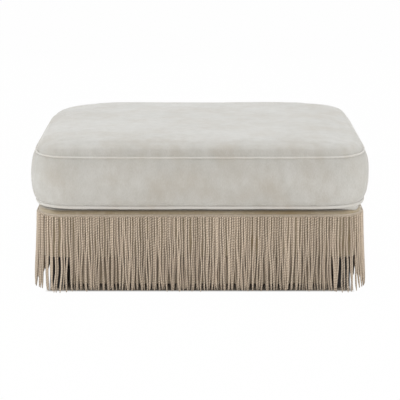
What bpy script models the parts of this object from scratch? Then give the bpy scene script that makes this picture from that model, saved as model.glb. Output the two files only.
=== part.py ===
"""A fringed footstool: a loose, piped box cushion on an upholstered base with a cord fringe skirt.

Units are metres and +Z is up. The origin is on the floor under the middle of the stool, +X runs
along its longer side and the front faces -Y. The cushion lifts straight up off the base, and the
zip at the back of the cushion slides along X, with a pull that swings about a vertical axis.
"""

import math
import random

import bmesh
import bpy
from mathutils import Vector

# Shared fits
CLEARANCE = 0.0003
OVERRUN = 0.004
WELD_DISTANCE = 0.00001

# Cushion, measured over its covers
CUSHION_WIDTH = 1.0
CUSHION_DEPTH = 0.75
CUSHION_OVERHANG = 0.029
FLAT_CORNER_RADIUS = 0.099
CORNER_EXPONENT = 2.8
BOXING_HEIGHT = 0.148
SEAM_INSET = 0.014
CROWN_HEIGHT = 0.045
CROWN_WIDTH = 0.1
BELLY_DEPTH = 0.012
BELLY_WIDTH = 0.06
CUSHION_FABRIC = 0.0012
PIPING_RADIUS = 0.003
CROWN_EXPONENT = 2.5
CROWN_CROWDING_EXPONENT = 1.6
BULGE_EXPONENT = 0.7
BELLY_EXPONENT = 2.0
CROWN_STEPS = 3
BOXING_STEPS = 4
BELLY_STEPS = 2
CORNER_STEPS = 7
LONG_SIDE_STEPS = 4
SHORT_SIDE_STEPS = 2

# Zip in the back of the boxing
ZIP_LENGTH = 0.48
ZIP_TAPE_HEIGHT = 0.026
ZIP_TAPE_THICKNESS = 0.001
ZIP_COIL_WIDTH = 0.0056
ZIP_COIL_HEIGHT = 0.0016
ZIP_STOP_LENGTH = 0.004
ZIP_STOP_LIP = 0.0012
ZIP_STOP_HEIGHT = 0.003
SLIDER_LENGTH = 0.011
SLIDER_LIP = 0.0016
SLIDER_THICKNESS = 0.0022
PULL_LENGTH = 0.026
PULL_THICKNESS = 0.0014
PULL_PIN_RADIUS = 0.0009
PULL_EAR_LENGTH = 0.0022
PULL_EAR_WIDTH = 0.0013

# Base frame
FRAME_CORNER_RADIUS = 0.072
RAIL_HEIGHT = 0.11
RAIL_THICKNESS = 0.022
POST_FLAT = 0.023
CROSS_RAIL_DROP = 0.03
CROSS_RAIL_RAISE = 0.02

# Seat deck
WEB_THICKNESS = 0.0025
WEB_WIDTH = 0.05
WEB_END_MARGIN = 0.006
WEB_SLOPE_LENGTH = 0.02
LONG_WEB_COUNT = 2
CROSS_WEB_COUNT = 4
DECK_PAD_THICKNESS = 0.0205
COVER_THICKNESS = 0.003
PLATFORM_COVER_SKIRT = 0.0262

# Cloth below the frame
DUST_COVER_THICKNESS = 0.0008
FOOT_OPENING_MARGIN = 0.004
LINING_THICKNESS = 0.0015
LINING_FLANGE = 0.022
LINING_INSET = 0.008
LINING_FLOOR_GAP = 0.022
LINING_END_GAP = 0.012

# Feet
FOOT_SIZE = 0.05
FOOT_HEIGHT = 0.1
FOOT_CORNER_MARGIN = 0.0112
FOOT_BEVEL = 0.002
GLIDE_RADIUS = 0.02
GLIDE_THICKNESS = 0.0055
GLIDE_EDGE = 0.001
BOLT_RADIUS = 0.004
BOLT_POINT_LENGTH = 0.006
BOLT_POINT_SHARE = 0.25
BOLT_IN_FOOT = 0.034
BOLT_PAST_INSERT = 0.004
BOLT_HOLE_END_GAP = 0.004
INSERT_WALL = 0.0022
INSERT_LENGTH = 0.018
INSERT_FLANGE_REACH = 0.003
INSERT_FLANGE_THICKNESS = 0.0016

# Fringe
FRINGE_FLOOR_GAP = 0.006
HEADING_DROP = 0.0101
HEADING_HEIGHT = 0.009
HEADING_THICKNESS = 0.004
STRAND_WIDTH = 0.0066
STRAND_GAP = 0.0026
STRAND_TIP_SHARE = 0.8
STRAND_SWAY_SHARE = 0.27
STRAND_FLARE = 0.0055
STRAND_DRIFT = 0.0017
STRAND_DRIFT_LENGTH = 0.21
STRAND_FLARE_SPREAD = 0.0012
STRAND_LENGTH_SPREAD = 0.003
CORNER_SLICES = 2
FRINGE_SEED = 7

# Roundness
HALF_TURN_STEPS = 8

# Heights that stack up from the floor
FOOT_BOTTOM = GLIDE_THICKNESS + CLEARANCE
FOOT_TOP = FOOT_BOTTOM + FOOT_HEIGHT
FRAME_BOTTOM = FOOT_TOP + CLEARANCE
RAIL_TOP = FRAME_BOTTOM + RAIL_HEIGHT
WEB_LOW = RAIL_TOP + CLEARANCE + WEB_THICKNESS / 2
WEB_HIGH = WEB_LOW + WEB_THICKNESS + CLEARANCE
DECK_BOTTOM = WEB_HIGH + WEB_THICKNESS / 2 + CLEARANCE
DECK_TOP = DECK_BOTTOM + DECK_PAD_THICKNESS
PLATFORM_TOP = DECK_TOP + CLEARANCE + COVER_THICKNESS
HEADING_TOP = PLATFORM_TOP - HEADING_DROP
CUSHION_BOTTOM = PLATFORM_TOP + CLEARANCE
BOTTOM_SEAM = CUSHION_BOTTOM + BELLY_DEPTH
TOP_SEAM = BOTTOM_SEAM + BOXING_HEIGHT

# Plan sizes of the frame, and distances that stack up outwards from it
FRAME_WIDTH = CUSHION_WIDTH - 2 * CUSHION_OVERHANG
FRAME_DEPTH = CUSHION_DEPTH - 2 * CUSHION_OVERHANG
POST_SIZE = FRAME_CORNER_RADIUS + POST_FLAT
COVER_OUT = CLEARANCE + COVER_THICKNESS
HEADING_IN = COVER_OUT + CLEARANCE

# Feet, whose outer corners keep a margin to the frame's rounded corners, and their fasteners
FOOT_EDGE = FRAME_CORNER_RADIUS - (FRAME_CORNER_RADIUS - FOOT_CORNER_MARGIN) / math.sqrt(2)
FOOT_X = FRAME_WIDTH / 2 - FOOT_EDGE - FOOT_SIZE / 2
FOOT_Y = FRAME_DEPTH / 2 - FOOT_EDGE - FOOT_SIZE / 2
BOLT_IN_POST = INSERT_LENGTH + BOLT_PAST_INSERT
BOLT_BORE = BOLT_RADIUS + CLEARANCE
INSERT_RADIUS = BOLT_BORE + INSERT_WALL
INSERT_FLANGE_RADIUS = INSERT_RADIUS + INSERT_FLANGE_REACH

# Fits at the cushion's seams and in its zip
PIPING_PROUD = PIPING_RADIUS + CLEARANCE - CUSHION_FABRIC
SEAM_GAP = PIPING_RADIUS + 2 * CLEARANCE
ZIP_STOP_WIDTH = ZIP_COIL_WIDTH + 2 * ZIP_STOP_LIP
SLIDER_WIDTH = ZIP_COIL_WIDTH + 2 * CLEARANCE + 2 * SLIDER_LIP
PULL_WIDTH = SLIDER_WIDTH - 2 * PULL_EAR_WIDTH - 4 * CLEARANCE

CORNERS = {
    "front_left": (-1, -1),
    "front_right": (1, -1),
    "back_right": (1, 1),
    "back_left": (-1, 1),
}

PARTS = bpy.data.collections.new("fringed_footstool")
CUTTERS = bpy.data.collections.new("cutters")


def clear_scene():
    for obj in list(bpy.data.objects):
        bpy.data.objects.remove(obj, do_unlink=True)
    for collection in (PARTS, CUTTERS):
        bpy.context.scene.collection.children.link(collection)


def material(name, colour, roughness, metallic=0.0):
    """A Principled material, with its colour also shown in the solid view."""
    made = bpy.data.materials.new(name)
    made.use_nodes = True
    shader = made.node_tree.nodes["Principled BSDF"]
    shader.inputs["Base Color"].default_value = (*colour, 1.0)
    shader.inputs["Roughness"].default_value = roughness
    shader.inputs["Metallic"].default_value = metallic
    made.diffuse_color = (*colour, 1.0)
    return made


def make_materials():
    return {
        "velvet": material("ivory_velvet", (0.71, 0.69, 0.65), 0.9),
        "piping": material("ivory_piping", (0.73, 0.71, 0.67), 0.85),
        "foam": material("cushion_foam", (0.8, 0.76, 0.6), 0.95),
        "tape": material("zip_tape", (0.62, 0.6, 0.55), 0.8),
        "zip_metal": material("zip_metal", (0.45, 0.43, 0.4), 0.35, 1.0),
        "timber": material("frame_timber", (0.55, 0.4, 0.24), 0.7),
        "webbing": material("jute_webbing", (0.42, 0.32, 0.2), 0.9),
        "pad": material("deck_pad", (0.75, 0.72, 0.62), 0.95),
        "base_cloth": material("taupe_base_cloth", (0.42, 0.36, 0.29), 0.9),
        "lining": material("taupe_lining", (0.2, 0.16, 0.12), 0.9),
        "dust_cloth": material("black_dust_cloth", (0.02, 0.02, 0.02), 0.95),
        "fringe": material("champagne_cord", (0.47, 0.39, 0.3), 0.7),
        "black": material("black_lacquer", (0.01, 0.01, 0.01), 0.4),
        "steel": material("zinc_steel", (0.6, 0.6, 0.62), 0.35, 1.0),
        "felt": material("grey_felt", (0.12, 0.12, 0.12), 0.95),
    }


def add(name, mesh, finish, collection=PARTS):
    """Puts a mesh in the scene as one named object with its material."""
    obj = bpy.data.objects.new(name, mesh)
    collection.objects.link(obj)
    if finish:
        obj.data.materials.append(finish)
    return obj


def to_mesh(name, shape):
    """Turns a closed bmesh into a mesh whose faces point outwards."""
    bmesh.ops.recalc_face_normals(shape, faces=shape.faces)
    if shape.calc_volume(signed=True) < 0:
        bmesh.ops.reverse_faces(shape, faces=shape.faces)
    mesh = bpy.data.meshes.new(name)
    shape.to_mesh(mesh)
    shape.free()
    return mesh


def block(name, size, centre, finish, collection=PARTS):
    """A box of the given size, with its origin at its centre."""
    shape = bmesh.new()
    bmesh.ops.create_cube(shape, size=1.0)
    bmesh.ops.scale(shape, vec=Vector(size), verts=shape.verts)
    obj = add(name, to_mesh(name, shape), finish, collection)
    obj.location = centre
    return obj


def turned(name, profile, finish, closed=False, collection=PARTS):
    """A turned solid: the (radius, height) profile runs down its outer side, round the Z axis."""
    mesh = bpy.data.meshes.new(name)
    points = [(radius, 0.0, height) for radius, height in profile]
    edges = [(i, i + 1) for i in range(len(points) - 1)]
    if closed:
        edges.append((len(points) - 1, 0))
    mesh.from_pydata(points, edges, [])
    obj = add(name, mesh, finish, collection)
    turn = obj.modifiers.new("Turn", "SCREW")
    turn.axis = "Z"
    turn.steps = turn.render_steps = 2 * HALF_TURN_STEPS
    turn.use_merge_vertices = True
    turn.merge_threshold = WELD_DISTANCE
    turn.use_smooth_shade = True
    return obj


def flat_outline(name, points, thickness, finish, collection=PARTS):
    """A flat, closed outline in its own XY plane, given an even thickness about that plane."""
    curve = bpy.data.curves.new(name, "CURVE")
    curve.dimensions = "2D"
    curve.fill_mode = "BOTH"
    curve.extrude = thickness / 2
    spline = curve.splines.new("POLY")
    spline.points.add(len(points) - 1)
    for point, (x, y) in zip(spline.points, points):
        point.co = (x, y, 0.0, 1.0)
    spline.use_cyclic_u = True
    return add(name, curve, finish, collection)


def as_mesh(curve_object, finish):
    """Replaces a curve object by the closed mesh that it shows, with its caps welded on."""
    graph = bpy.context.evaluated_depsgraph_get()
    mesh = bpy.data.meshes.new_from_object(curve_object.evaluated_get(graph))
    shape = bmesh.new()
    shape.from_mesh(mesh)
    bmesh.ops.remove_doubles(shape, verts=shape.verts, dist=WELD_DISTANCE)
    bmesh.ops.recalc_face_normals(shape, faces=shape.faces)
    shape.to_mesh(mesh)
    shape.free()
    name, place = curve_object.name, curve_object.matrix_world.copy()
    bpy.data.objects.remove(curve_object, do_unlink=True)
    mesh.materials.clear()
    solid = add(name, mesh, finish)
    solid.matrix_world = place
    return solid


def hide_cutter(cutter):
    cutter.hide_render = True
    cutter.display_type = "WIRE"


def cut(obj, cutter):
    hide_cutter(cutter)
    boolean = obj.modifiers.new("Cut " + cutter.name, "BOOLEAN")
    boolean.operation = "DIFFERENCE"
    boolean.solver = "EXACT"
    boolean.object = cutter


def join(obj, piece):
    hide_cutter(piece)
    union = obj.modifiers.new("Join " + piece.name, "BOOLEAN")
    union.operation = "UNION"
    union.solver = "EXACT"
    union.object = piece


def round_edges(obj, width, segments=2):
    bevel = obj.modifiers.new("Round edges", "BEVEL")
    bevel.width = width
    bevel.segments = segments
    bevel.limit_method = "ANGLE"


def arc(centre, radius, start, end, steps, exponent=2.0):
    """Points along an arc in degrees; an exponent above 2 makes the corner squarer."""
    points = []
    for i in range(steps + 1):
        angle = math.radians(start + (end - start) * i / steps)
        cosine, sine = math.cos(angle), math.sin(angle)
        reach_x = math.copysign(abs(cosine) ** (2 / exponent), cosine)
        reach_y = math.copysign(abs(sine) ** (2 / exponent), sine)
        points.append((centre[0] + radius * reach_x, centre[1] + radius * reach_y))
    return points


def rounded_rectangle(width, depth, radius, steps, exponent=2.0):
    """A closed plan outline, counter-clockwise from the right end of the back right corner."""
    reach_x = width / 2 - radius
    reach_y = depth / 2 - radius
    points = []
    for turn, (side_x, side_y) in enumerate(((1, 1), (-1, 1), (-1, -1), (1, -1))):
        centre = (side_x * reach_x, side_y * reach_y)
        points += arc(centre, radius, 90 * turn, 90 * turn + 90, steps, exponent)
    return points


# Frame


def make_rails(finish):
    middle = FRAME_BOTTOM + RAIL_HEIGHT / 2
    long_rail = FRAME_WIDTH - 2 * POST_SIZE - 2 * CLEARANCE
    short_rail = FRAME_DEPTH - 2 * POST_SIZE - 2 * CLEARANCE
    rail_x = FRAME_WIDTH / 2 - RAIL_THICKNESS / 2
    rail_y = FRAME_DEPTH / 2 - RAIL_THICKNESS / 2
    long_size = (long_rail, RAIL_THICKNESS, RAIL_HEIGHT)
    short_size = (RAIL_THICKNESS, short_rail, RAIL_HEIGHT)
    block("front_rail", long_size, (0, -rail_y, middle), finish)
    block("back_rail", long_size, (0, rail_y, middle), finish)
    block("left_rail", short_size, (-rail_x, 0, middle), finish)
    block("right_rail", short_size, (rail_x, 0, middle), finish)
    span = FRAME_DEPTH - 2 * RAIL_THICKNESS - 2 * CLEARANCE
    cross_height = RAIL_HEIGHT - CROSS_RAIL_DROP - CROSS_RAIL_RAISE
    cross_middle = FRAME_BOTTOM + CROSS_RAIL_RAISE + cross_height / 2
    block("cross_rail", (RAIL_THICKNESS, span, cross_height), (0, 0, cross_middle), finish)


def make_corner_posts(finish):
    """Solid corner blocks with a rounded outer corner, each bored from below for its insert nut."""
    inner_x = FRAME_WIDTH / 2 - POST_SIZE
    inner_y = FRAME_DEPTH / 2 - POST_SIZE
    centre = (FRAME_WIDTH / 2 - FRAME_CORNER_RADIUS, FRAME_DEPTH / 2 - FRAME_CORNER_RADIUS)
    corner = arc(centre, FRAME_CORNER_RADIUS, 0, 90, HALF_TURN_STEPS)
    quarter = [(inner_x, inner_y), (FRAME_WIDTH / 2, inner_y), *corner, (inner_x, FRAME_DEPTH / 2)]
    bore = INSERT_RADIUS + CLEARANCE
    recess = INSERT_FLANGE_RADIUS + CLEARANCE
    recess_top = FRAME_BOTTOM + INSERT_FLANGE_THICKNESS + CLEARANCE
    bore_top = FRAME_BOTTOM + BOLT_IN_POST + BOLT_HOLE_END_GAP
    hole = [
        (0.0, bore_top),
        (bore, bore_top),
        (bore, recess_top),
        (recess, recess_top),
        (recess, FRAME_BOTTOM - OVERRUN),
        (0.0, FRAME_BOTTOM - OVERRUN),
    ]
    for corner_name, (side_x, side_y) in CORNERS.items():
        outline = [(side_x * x, side_y * y) for x, y in quarter]
        post = flat_outline("corner_post_" + corner_name, outline, RAIL_HEIGHT, None)
        post.location.z = FRAME_BOTTOM + RAIL_HEIGHT / 2
        solid = as_mesh(post, finish)
        cutter = turned("post_bore_" + corner_name, hole, None, collection=CUTTERS)
        cutter.location = (side_x * FOOT_X, side_y * FOOT_Y, 0)
        cut(solid, cutter)


# Seat deck


def web_outline(length, crossings):
    """Side view of a strap: flat at both ends, and raised over each crossing marked True."""
    stations = [(-length / 2, WEB_LOW)]
    for place, over in crossings:
        if not over:
            continue
        flat = WEB_WIDTH / 2 + CLEARANCE
        stations += [
            (place - flat - WEB_SLOPE_LENGTH, WEB_LOW),
            (place - flat, WEB_HIGH),
            (place + flat, WEB_HIGH),
            (place + flat + WEB_SLOPE_LENGTH, WEB_LOW),
        ]
    stations.append((length / 2, WEB_LOW))
    top = [(x, z + WEB_THICKNESS / 2) for x, z in stations]
    bottom = [(x, z - WEB_THICKNESS / 2) for x, z in stations]
    return top + bottom[::-1]


def spread(count, width):
    """Places that divide a width evenly, centred on zero."""
    return [((i + 1) / (count + 1) - 1 / 2) * width for i in range(count)]


def make_webbing(finish):
    """Long and cross straps, woven: where one passes over, the other passes under."""
    long_places = spread(LONG_WEB_COUNT, FRAME_DEPTH)
    cross_places = spread(CROSS_WEB_COUNT, FRAME_WIDTH)
    for i, y in enumerate(long_places):
        crossings = [(x, (i + j) % 2 == 0) for j, x in enumerate(cross_places)]
        outline = web_outline(FRAME_WIDTH - 2 * WEB_END_MARGIN, crossings)
        strap = flat_outline(f"long_web_{i + 1}", outline, WEB_WIDTH, finish)
        strap.rotation_euler = (math.pi / 2, 0, 0)
        strap.location.y = y
    for j, x in enumerate(cross_places):
        crossings = [(y, (i + j) % 2 == 1) for i, y in enumerate(long_places)]
        outline = web_outline(FRAME_DEPTH - 2 * WEB_END_MARGIN, crossings)
        strap = flat_outline(f"cross_web_{j + 1}", outline, WEB_WIDTH, finish)
        strap.rotation_euler = (math.pi / 2, 0, math.pi / 2)
        strap.location.x = x


def frame_outline(out):
    """The frame's plan outline, moved outwards by the given distance."""
    return rounded_rectangle(
        FRAME_WIDTH + 2 * out, FRAME_DEPTH + 2 * out, FRAME_CORNER_RADIUS + out, HALF_TURN_STEPS
    )


def make_deck(pad_finish, cover_finish):
    """The deck pad, its cover with an edge turned down all round, and the border cover below it."""
    pad = flat_outline("deck_pad", frame_outline(0.0), DECK_PAD_THICKNESS, pad_finish)
    pad.location.z = DECK_BOTTOM + DECK_PAD_THICKNESS / 2
    skirt_bottom = PLATFORM_TOP - PLATFORM_COVER_SKIRT
    cover = flat_outline(
        "platform_cover", frame_outline(COVER_OUT), PLATFORM_COVER_SKIRT, None
    )
    cover.location.z = PLATFORM_TOP - PLATFORM_COVER_SKIRT / 2
    cover = as_mesh(cover, cover_finish)
    hollow = block_outline_cutter(
        "platform_hollow", CLEARANCE, skirt_bottom - OVERRUN, DECK_TOP + CLEARANCE
    )
    cut(cover, hollow)
    border_top = skirt_bottom - CLEARANCE
    border_height = border_top - FRAME_BOTTOM
    border = flat_outline("border_cover", frame_outline(COVER_OUT), border_height, None)
    border.location.z = FRAME_BOTTOM + border_height / 2
    border = as_mesh(border, cover_finish)
    core = block_outline_cutter(
        "border_hollow", CLEARANCE, FRAME_BOTTOM - OVERRUN, border_top + OVERRUN
    )
    cut(border, core)


def block_outline_cutter(name, out, bottom, top):
    """A cutter in the frame's plan outline, between two heights."""
    cutter = flat_outline(name, frame_outline(out), top - bottom, None, CUTTERS)
    cutter.location.z = (top + bottom) / 2
    solid = as_mesh(cutter, None)
    PARTS.objects.unlink(solid)
    CUTTERS.objects.link(solid)
    return solid


# Cloth below the frame


def make_dust_cover(finish):
    """A flat sheet under the frame, cut out round each foot."""
    edge = LINING_INSET + LINING_THICKNESS + CLEARANCE
    half_x = FRAME_WIDTH / 2 - edge
    half_y = FRAME_DEPTH / 2 - edge
    notch_x = FOOT_X - FOOT_SIZE / 2 - FOOT_OPENING_MARGIN
    notch_y = FOOT_Y - FOOT_SIZE / 2 - FOOT_OPENING_MARGIN
    quarter = [(half_x, notch_y), (notch_x, notch_y), (notch_x, half_y)]
    outline = []
    for side_x, side_y in ((1, 1), (-1, 1), (-1, -1), (1, -1)):
        corner = [(side_x * x, side_y * y) for x, y in quarter]
        outline += corner if side_x * side_y > 0 else corner[::-1]
    sheet = flat_outline("dust_cover", outline, DUST_COVER_THICKNESS, finish)
    top = FRAME_BOTTOM - CLEARANCE - LINING_THICKNESS - CLEARANCE
    sheet.location.z = top - DUST_COVER_THICKNESS / 2


def make_linings(finish):
    """Inner cloth panels between the feet: a flange under the rail and a drop behind the fringe."""
    top = FRAME_BOTTOM - CLEARANCE
    profile = [
        (0.0, top),
        (-LINING_FLANGE, top),
        (-LINING_FLANGE, top - LINING_THICKNESS),
        (-LINING_THICKNESS, top - LINING_THICKNESS),
        (-LINING_THICKNESS, LINING_FLOOR_GAP),
        (0.0, LINING_FLOOR_GAP),
    ]
    long_span = 2 * (FOOT_X - FOOT_SIZE / 2 - LINING_END_GAP)
    short_span = 2 * (FOOT_Y - FOOT_SIZE / 2 - LINING_END_GAP)
    reach_x = FRAME_WIDTH / 2 - LINING_INSET
    reach_y = FRAME_DEPTH / 2 - LINING_INSET
    sides = (
        ("right", 0.0, reach_x, short_span),
        ("back", 90.0, reach_y, long_span),
        ("left", 180.0, reach_x, short_span),
        ("front", 270.0, reach_y, long_span),
    )
    for name, facing, reach, span in sides:
        outline = [(reach + out, height) for out, height in profile]
        panel = flat_outline("lining_" + name, outline, span, finish)
        panel.rotation_euler = (math.pi / 2, 0, math.radians(facing))


# Feet


def make_feet(wood, steel, felt):
    """Each foot is bored from above for its hanger bolt, and stands on a glide."""
    bolt_bottom = FOOT_TOP - BOLT_IN_FOOT
    bolt_top = FRAME_BOTTOM + BOLT_IN_POST
    bolt = [
        (0.0, bolt_top),
        (BOLT_RADIUS, bolt_top),
        (BOLT_RADIUS, bolt_bottom + BOLT_POINT_LENGTH),
        (BOLT_RADIUS * BOLT_POINT_SHARE, bolt_bottom),
        (0.0, bolt_bottom),
    ]
    bore_bottom = bolt_bottom - BOLT_HOLE_END_GAP
    foot_hole = [
        (0.0, FOOT_TOP + OVERRUN),
        (BOLT_BORE, FOOT_TOP + OVERRUN),
        (BOLT_BORE, bore_bottom),
        (0.0, bore_bottom),
    ]
    insert = [
        (BOLT_BORE, FRAME_BOTTOM + INSERT_LENGTH),
        (INSERT_RADIUS, FRAME_BOTTOM + INSERT_LENGTH),
        (INSERT_RADIUS, FRAME_BOTTOM + INSERT_FLANGE_THICKNESS),
        (INSERT_FLANGE_RADIUS, FRAME_BOTTOM + INSERT_FLANGE_THICKNESS),
        (INSERT_FLANGE_RADIUS, FRAME_BOTTOM),
        (BOLT_BORE, FRAME_BOTTOM),
    ]
    glide = [
        (0.0, GLIDE_THICKNESS),
        (GLIDE_RADIUS, GLIDE_THICKNESS),
        (GLIDE_RADIUS, GLIDE_EDGE),
        (GLIDE_RADIUS - GLIDE_EDGE, 0.0),
        (0.0, 0.0),
    ]
    foot_middle = (FOOT_BOTTOM + FOOT_TOP) / 2
    for corner_name, (side_x, side_y) in CORNERS.items():
        x, y = side_x * FOOT_X, side_y * FOOT_Y
        size = (FOOT_SIZE, FOOT_SIZE, FOOT_HEIGHT)
        foot = block("foot_" + corner_name, size, (x, y, foot_middle), wood)
        round_edges(foot, FOOT_BEVEL)
        hole = turned("foot_bore_" + corner_name, foot_hole, None, collection=CUTTERS)
        hole.location = (x, y, 0)
        cut(foot, hole)
        turned("hanger_bolt_" + corner_name, bolt, steel).location = (x, y, 0)
        turned("insert_nut_" + corner_name, insert, steel, closed=True).location = (x, y, 0)
        turned("glide_" + corner_name, glide, felt).location = (x, y, 0)


# Fringe


def fringe_comb(name, place, length, finish, draw):
    """A slice of heading with its strands, bent onto the path that place(along) gives.

    The heading starts as a strip of cells in the flat. Every other cell is a strand: its lower
    face is extruded on its own, down to the tip, and is drawn in and moved a little there.
    """
    count = max(2, round(length / (STRAND_WIDTH + STRAND_GAP)))
    pitch = length / count
    gap = pitch - STRAND_WIDTH
    sway = STRAND_SWAY_SHARE * (pitch - STRAND_TIP_SHARE * STRAND_WIDTH)
    waves = round(length / STRAND_DRIFT_LENGTH)
    heading_bottom = HEADING_TOP - HEADING_HEIGHT
    shape = bmesh.new()
    edges_along = [0.0]
    for i in range(count):
        start = i * pitch + gap / 2
        edges_along += [start, start + STRAND_WIDTH]
    edges_along.append(length)
    rows = []
    for along in edges_along:
        inner = shape.verts.new((along, 0.0, heading_bottom))
        outer = shape.verts.new((along, HEADING_THICKNESS, heading_bottom))
        rows.append((inner, outer))
    cells = []
    for (a, b), (c, d) in zip(rows, rows[1:]):
        cells.append(shape.faces.new((a, b, d, c)))
    raised = bmesh.ops.extrude_face_region(shape, geom=list(shape.faces))["geom"]
    tops = [item for item in raised if isinstance(item, bmesh.types.BMVert)]
    bmesh.ops.translate(shape, verts=tops, vec=(0, 0, HEADING_HEIGHT))
    strands = bmesh.ops.extrude_discrete_faces(shape, faces=cells[1::2])["faces"]
    for face in strands:
        drift = math.sin(2 * math.pi * waves * face.calc_center_median().x / length)
        shape_tip(face, STRAND_DRIFT * drift + draw.uniform(-sway, sway), draw)
    for vert in shape.verts:
        vert.co = place(*vert.co)
    return add(name, to_mesh(name, shape), finish)


def shape_tip(face, sideways, draw):
    """Draws a strand's lower face in, and moves it down, outwards and sideways."""
    centre = face.calc_center_median()
    outwards = STRAND_FLARE + draw.uniform(-STRAND_FLARE_SPREAD, STRAND_FLARE_SPREAD)
    lift = draw.uniform(0.0, STRAND_LENGTH_SPREAD)
    for vert in face.verts:
        vert.co.x = centre.x + STRAND_TIP_SHARE * (vert.co.x - centre.x) + sideways
        vert.co.y = centre.y + STRAND_TIP_SHARE * (vert.co.y - centre.y) + outwards
        vert.co.z = FRINGE_FLOOR_GAP + lift


def straight_place(start, along_direction, out_direction):
    """Places (along, out, up) on a straight stretch of the skirt."""

    def place(along, out, up):
        x = start[0] + along_direction[0] * along + out_direction[0] * out
        y = start[1] + along_direction[1] * along + out_direction[1] * out
        return Vector((x, y, up))

    return place


def corner_place(centre, radius, start_angle):
    """Places (along, out, up) round a corner of the skirt, counter-clockwise."""

    def place(along, out, up):
        angle = start_angle + along / radius
        reach = radius + out
        x = centre[0] + reach * math.cos(angle)
        y = centre[1] + reach * math.sin(angle)
        return Vector((x, y, up))

    return place


def make_fringe(finish):
    """Four straight slices, and some round each corner, counter-clockwise from the right side."""
    draw = random.Random(FRINGE_SEED)
    radius = FRAME_CORNER_RADIUS + HEADING_IN
    straight_x = FRAME_WIDTH / 2 - FRAME_CORNER_RADIUS
    straight_y = FRAME_DEPTH / 2 - FRAME_CORNER_RADIUS
    sides = (
        ("right", (1, 0), straight_y, straight_x),
        ("back", (0, 1), straight_x, straight_y),
        ("left", (-1, 0), straight_y, straight_x),
        ("front", (0, -1), straight_x, straight_y),
    )
    for name, out, half_length, reach in sides:
        along = (-out[1], out[0])
        face = reach + radius
        start = [face * o - (half_length - CLEARANCE / 2) * a for o, a in zip(out, along)]
        place = straight_place(start, along, out)
        fringe_comb("fringe_" + name, place, 2 * half_length - CLEARANCE, finish, draw)
    slice_angle = math.pi / 2 / CORNER_SLICES
    margin = CLEARANCE / 2 / radius
    length = radius * (slice_angle - 2 * margin)
    corner_order = ("back_right", "back_left", "front_left", "front_right")
    for turn, corner_name in enumerate(corner_order):
        side_x, side_y = CORNERS[corner_name]
        centre = (side_x * straight_x, side_y * straight_y)
        for i in range(CORNER_SLICES):
            start_angle = turn * math.pi / 2 + i * slice_angle + margin
            place = corner_place(centre, radius, start_angle)
            fringe_comb(f"fringe_{corner_name}_{i + 1}", place, length, finish, draw)


# Cushion


def cushion_ring(inset, height):
    """A ring of points round the cushion, a distance in from its widest outline."""
    radius = FLAT_CORNER_RADIUS + SEAM_INSET + CROWN_WIDTH - inset
    half_x = CUSHION_WIDTH / 2 - inset - radius
    half_y = CUSHION_DEPTH / 2 - inset - radius
    points = []
    quarters = (
        ((1, 1), LONG_SIDE_STEPS),
        ((-1, 1), SHORT_SIDE_STEPS),
        ((-1, -1), LONG_SIDE_STEPS),
        ((1, -1), SHORT_SIDE_STEPS),
    )
    for turn, ((side_x, side_y), side_steps) in enumerate(quarters):
        centre = (side_x * half_x, side_y * half_y)
        start = 90 * turn
        points += arc(centre, radius, start, start + 90, CORNER_STEPS, CORNER_EXPONENT)
        x, y = points[-1]
        along = (-side_x, 0) if turn % 2 == 0 else (0, -side_y)
        stretch = 2 * (half_x if turn % 2 == 0 else half_y)
        for i in range(1, side_steps):
            share = i / side_steps
            points.append((x + along[0] * stretch * share, y + along[1] * stretch * share))
    return [Vector((x, y, height)) for x, y in points]


def crown_section():
    """(inset, height) from the top seam to the flat middle of the top panel."""
    points = []
    for i in range(CROWN_STEPS + 1):
        share = (i / CROWN_STEPS) ** CROWN_CROWDING_EXPONENT
        rise = 1 - (1 - share) ** CROWN_EXPONENT
        points.append(Vector((SEAM_INSET + CROWN_WIDTH * share, TOP_SEAM + CROWN_HEIGHT * rise)))
    return points


def boxing_section():
    """(inset, height) from the top seam down to the bottom seam, bulging between them."""
    points = []
    for i in range(BOXING_STEPS + 1):
        share = 1 - i / BOXING_STEPS
        from_middle = 2 * share - 1
        inset = SEAM_INSET * (1 - (1 - from_middle**2) ** BULGE_EXPONENT)
        points.append(Vector((inset, BOTTOM_SEAM + BOXING_HEIGHT * share)))
    return points


def belly_section():
    """(inset, height) from the bottom seam in to where the bottom panel rests flat."""
    points = []
    for i in range(BELLY_STEPS + 1):
        share = i / BELLY_STEPS
        drop = 1 - (1 - share) ** BELLY_EXPONENT
        points.append(Vector((SEAM_INSET + BELLY_WIDTH * share, BOTTOM_SEAM - BELLY_DEPTH * drop)))
    return points


def shortened(section):
    """A section that starts a seam gap later, to leave room for the piping."""
    first, second = section[0], section[1]
    return [first + (second - first).normalized() * SEAM_GAP, *section[1:]]


def cushion_sections():
    """The sections of the top panel, the boxing and the bottom panel, each from top to bottom."""
    crown = shortened(crown_section())[::-1]
    boxing = shortened(shortened(boxing_section())[::-1])[::-1]
    belly = shortened(belly_section())
    return crown, boxing, belly


def moved_in(section, distance):
    """A section moved square to itself, towards the inside of the cushion."""
    normals = []
    for first, second in zip(section, section[1:]):
        along = (second - first).normalized()
        normals.append(Vector((-along.y, along.x)))
    moved = []
    for i, point in enumerate(section):
        before = normals[max(i - 1, 0)]
        after = normals[min(i, len(normals) - 1)]
        halfway = (before + after).normalized()
        moved.append(point + halfway * distance / halfway.dot(before))
    return moved


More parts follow.
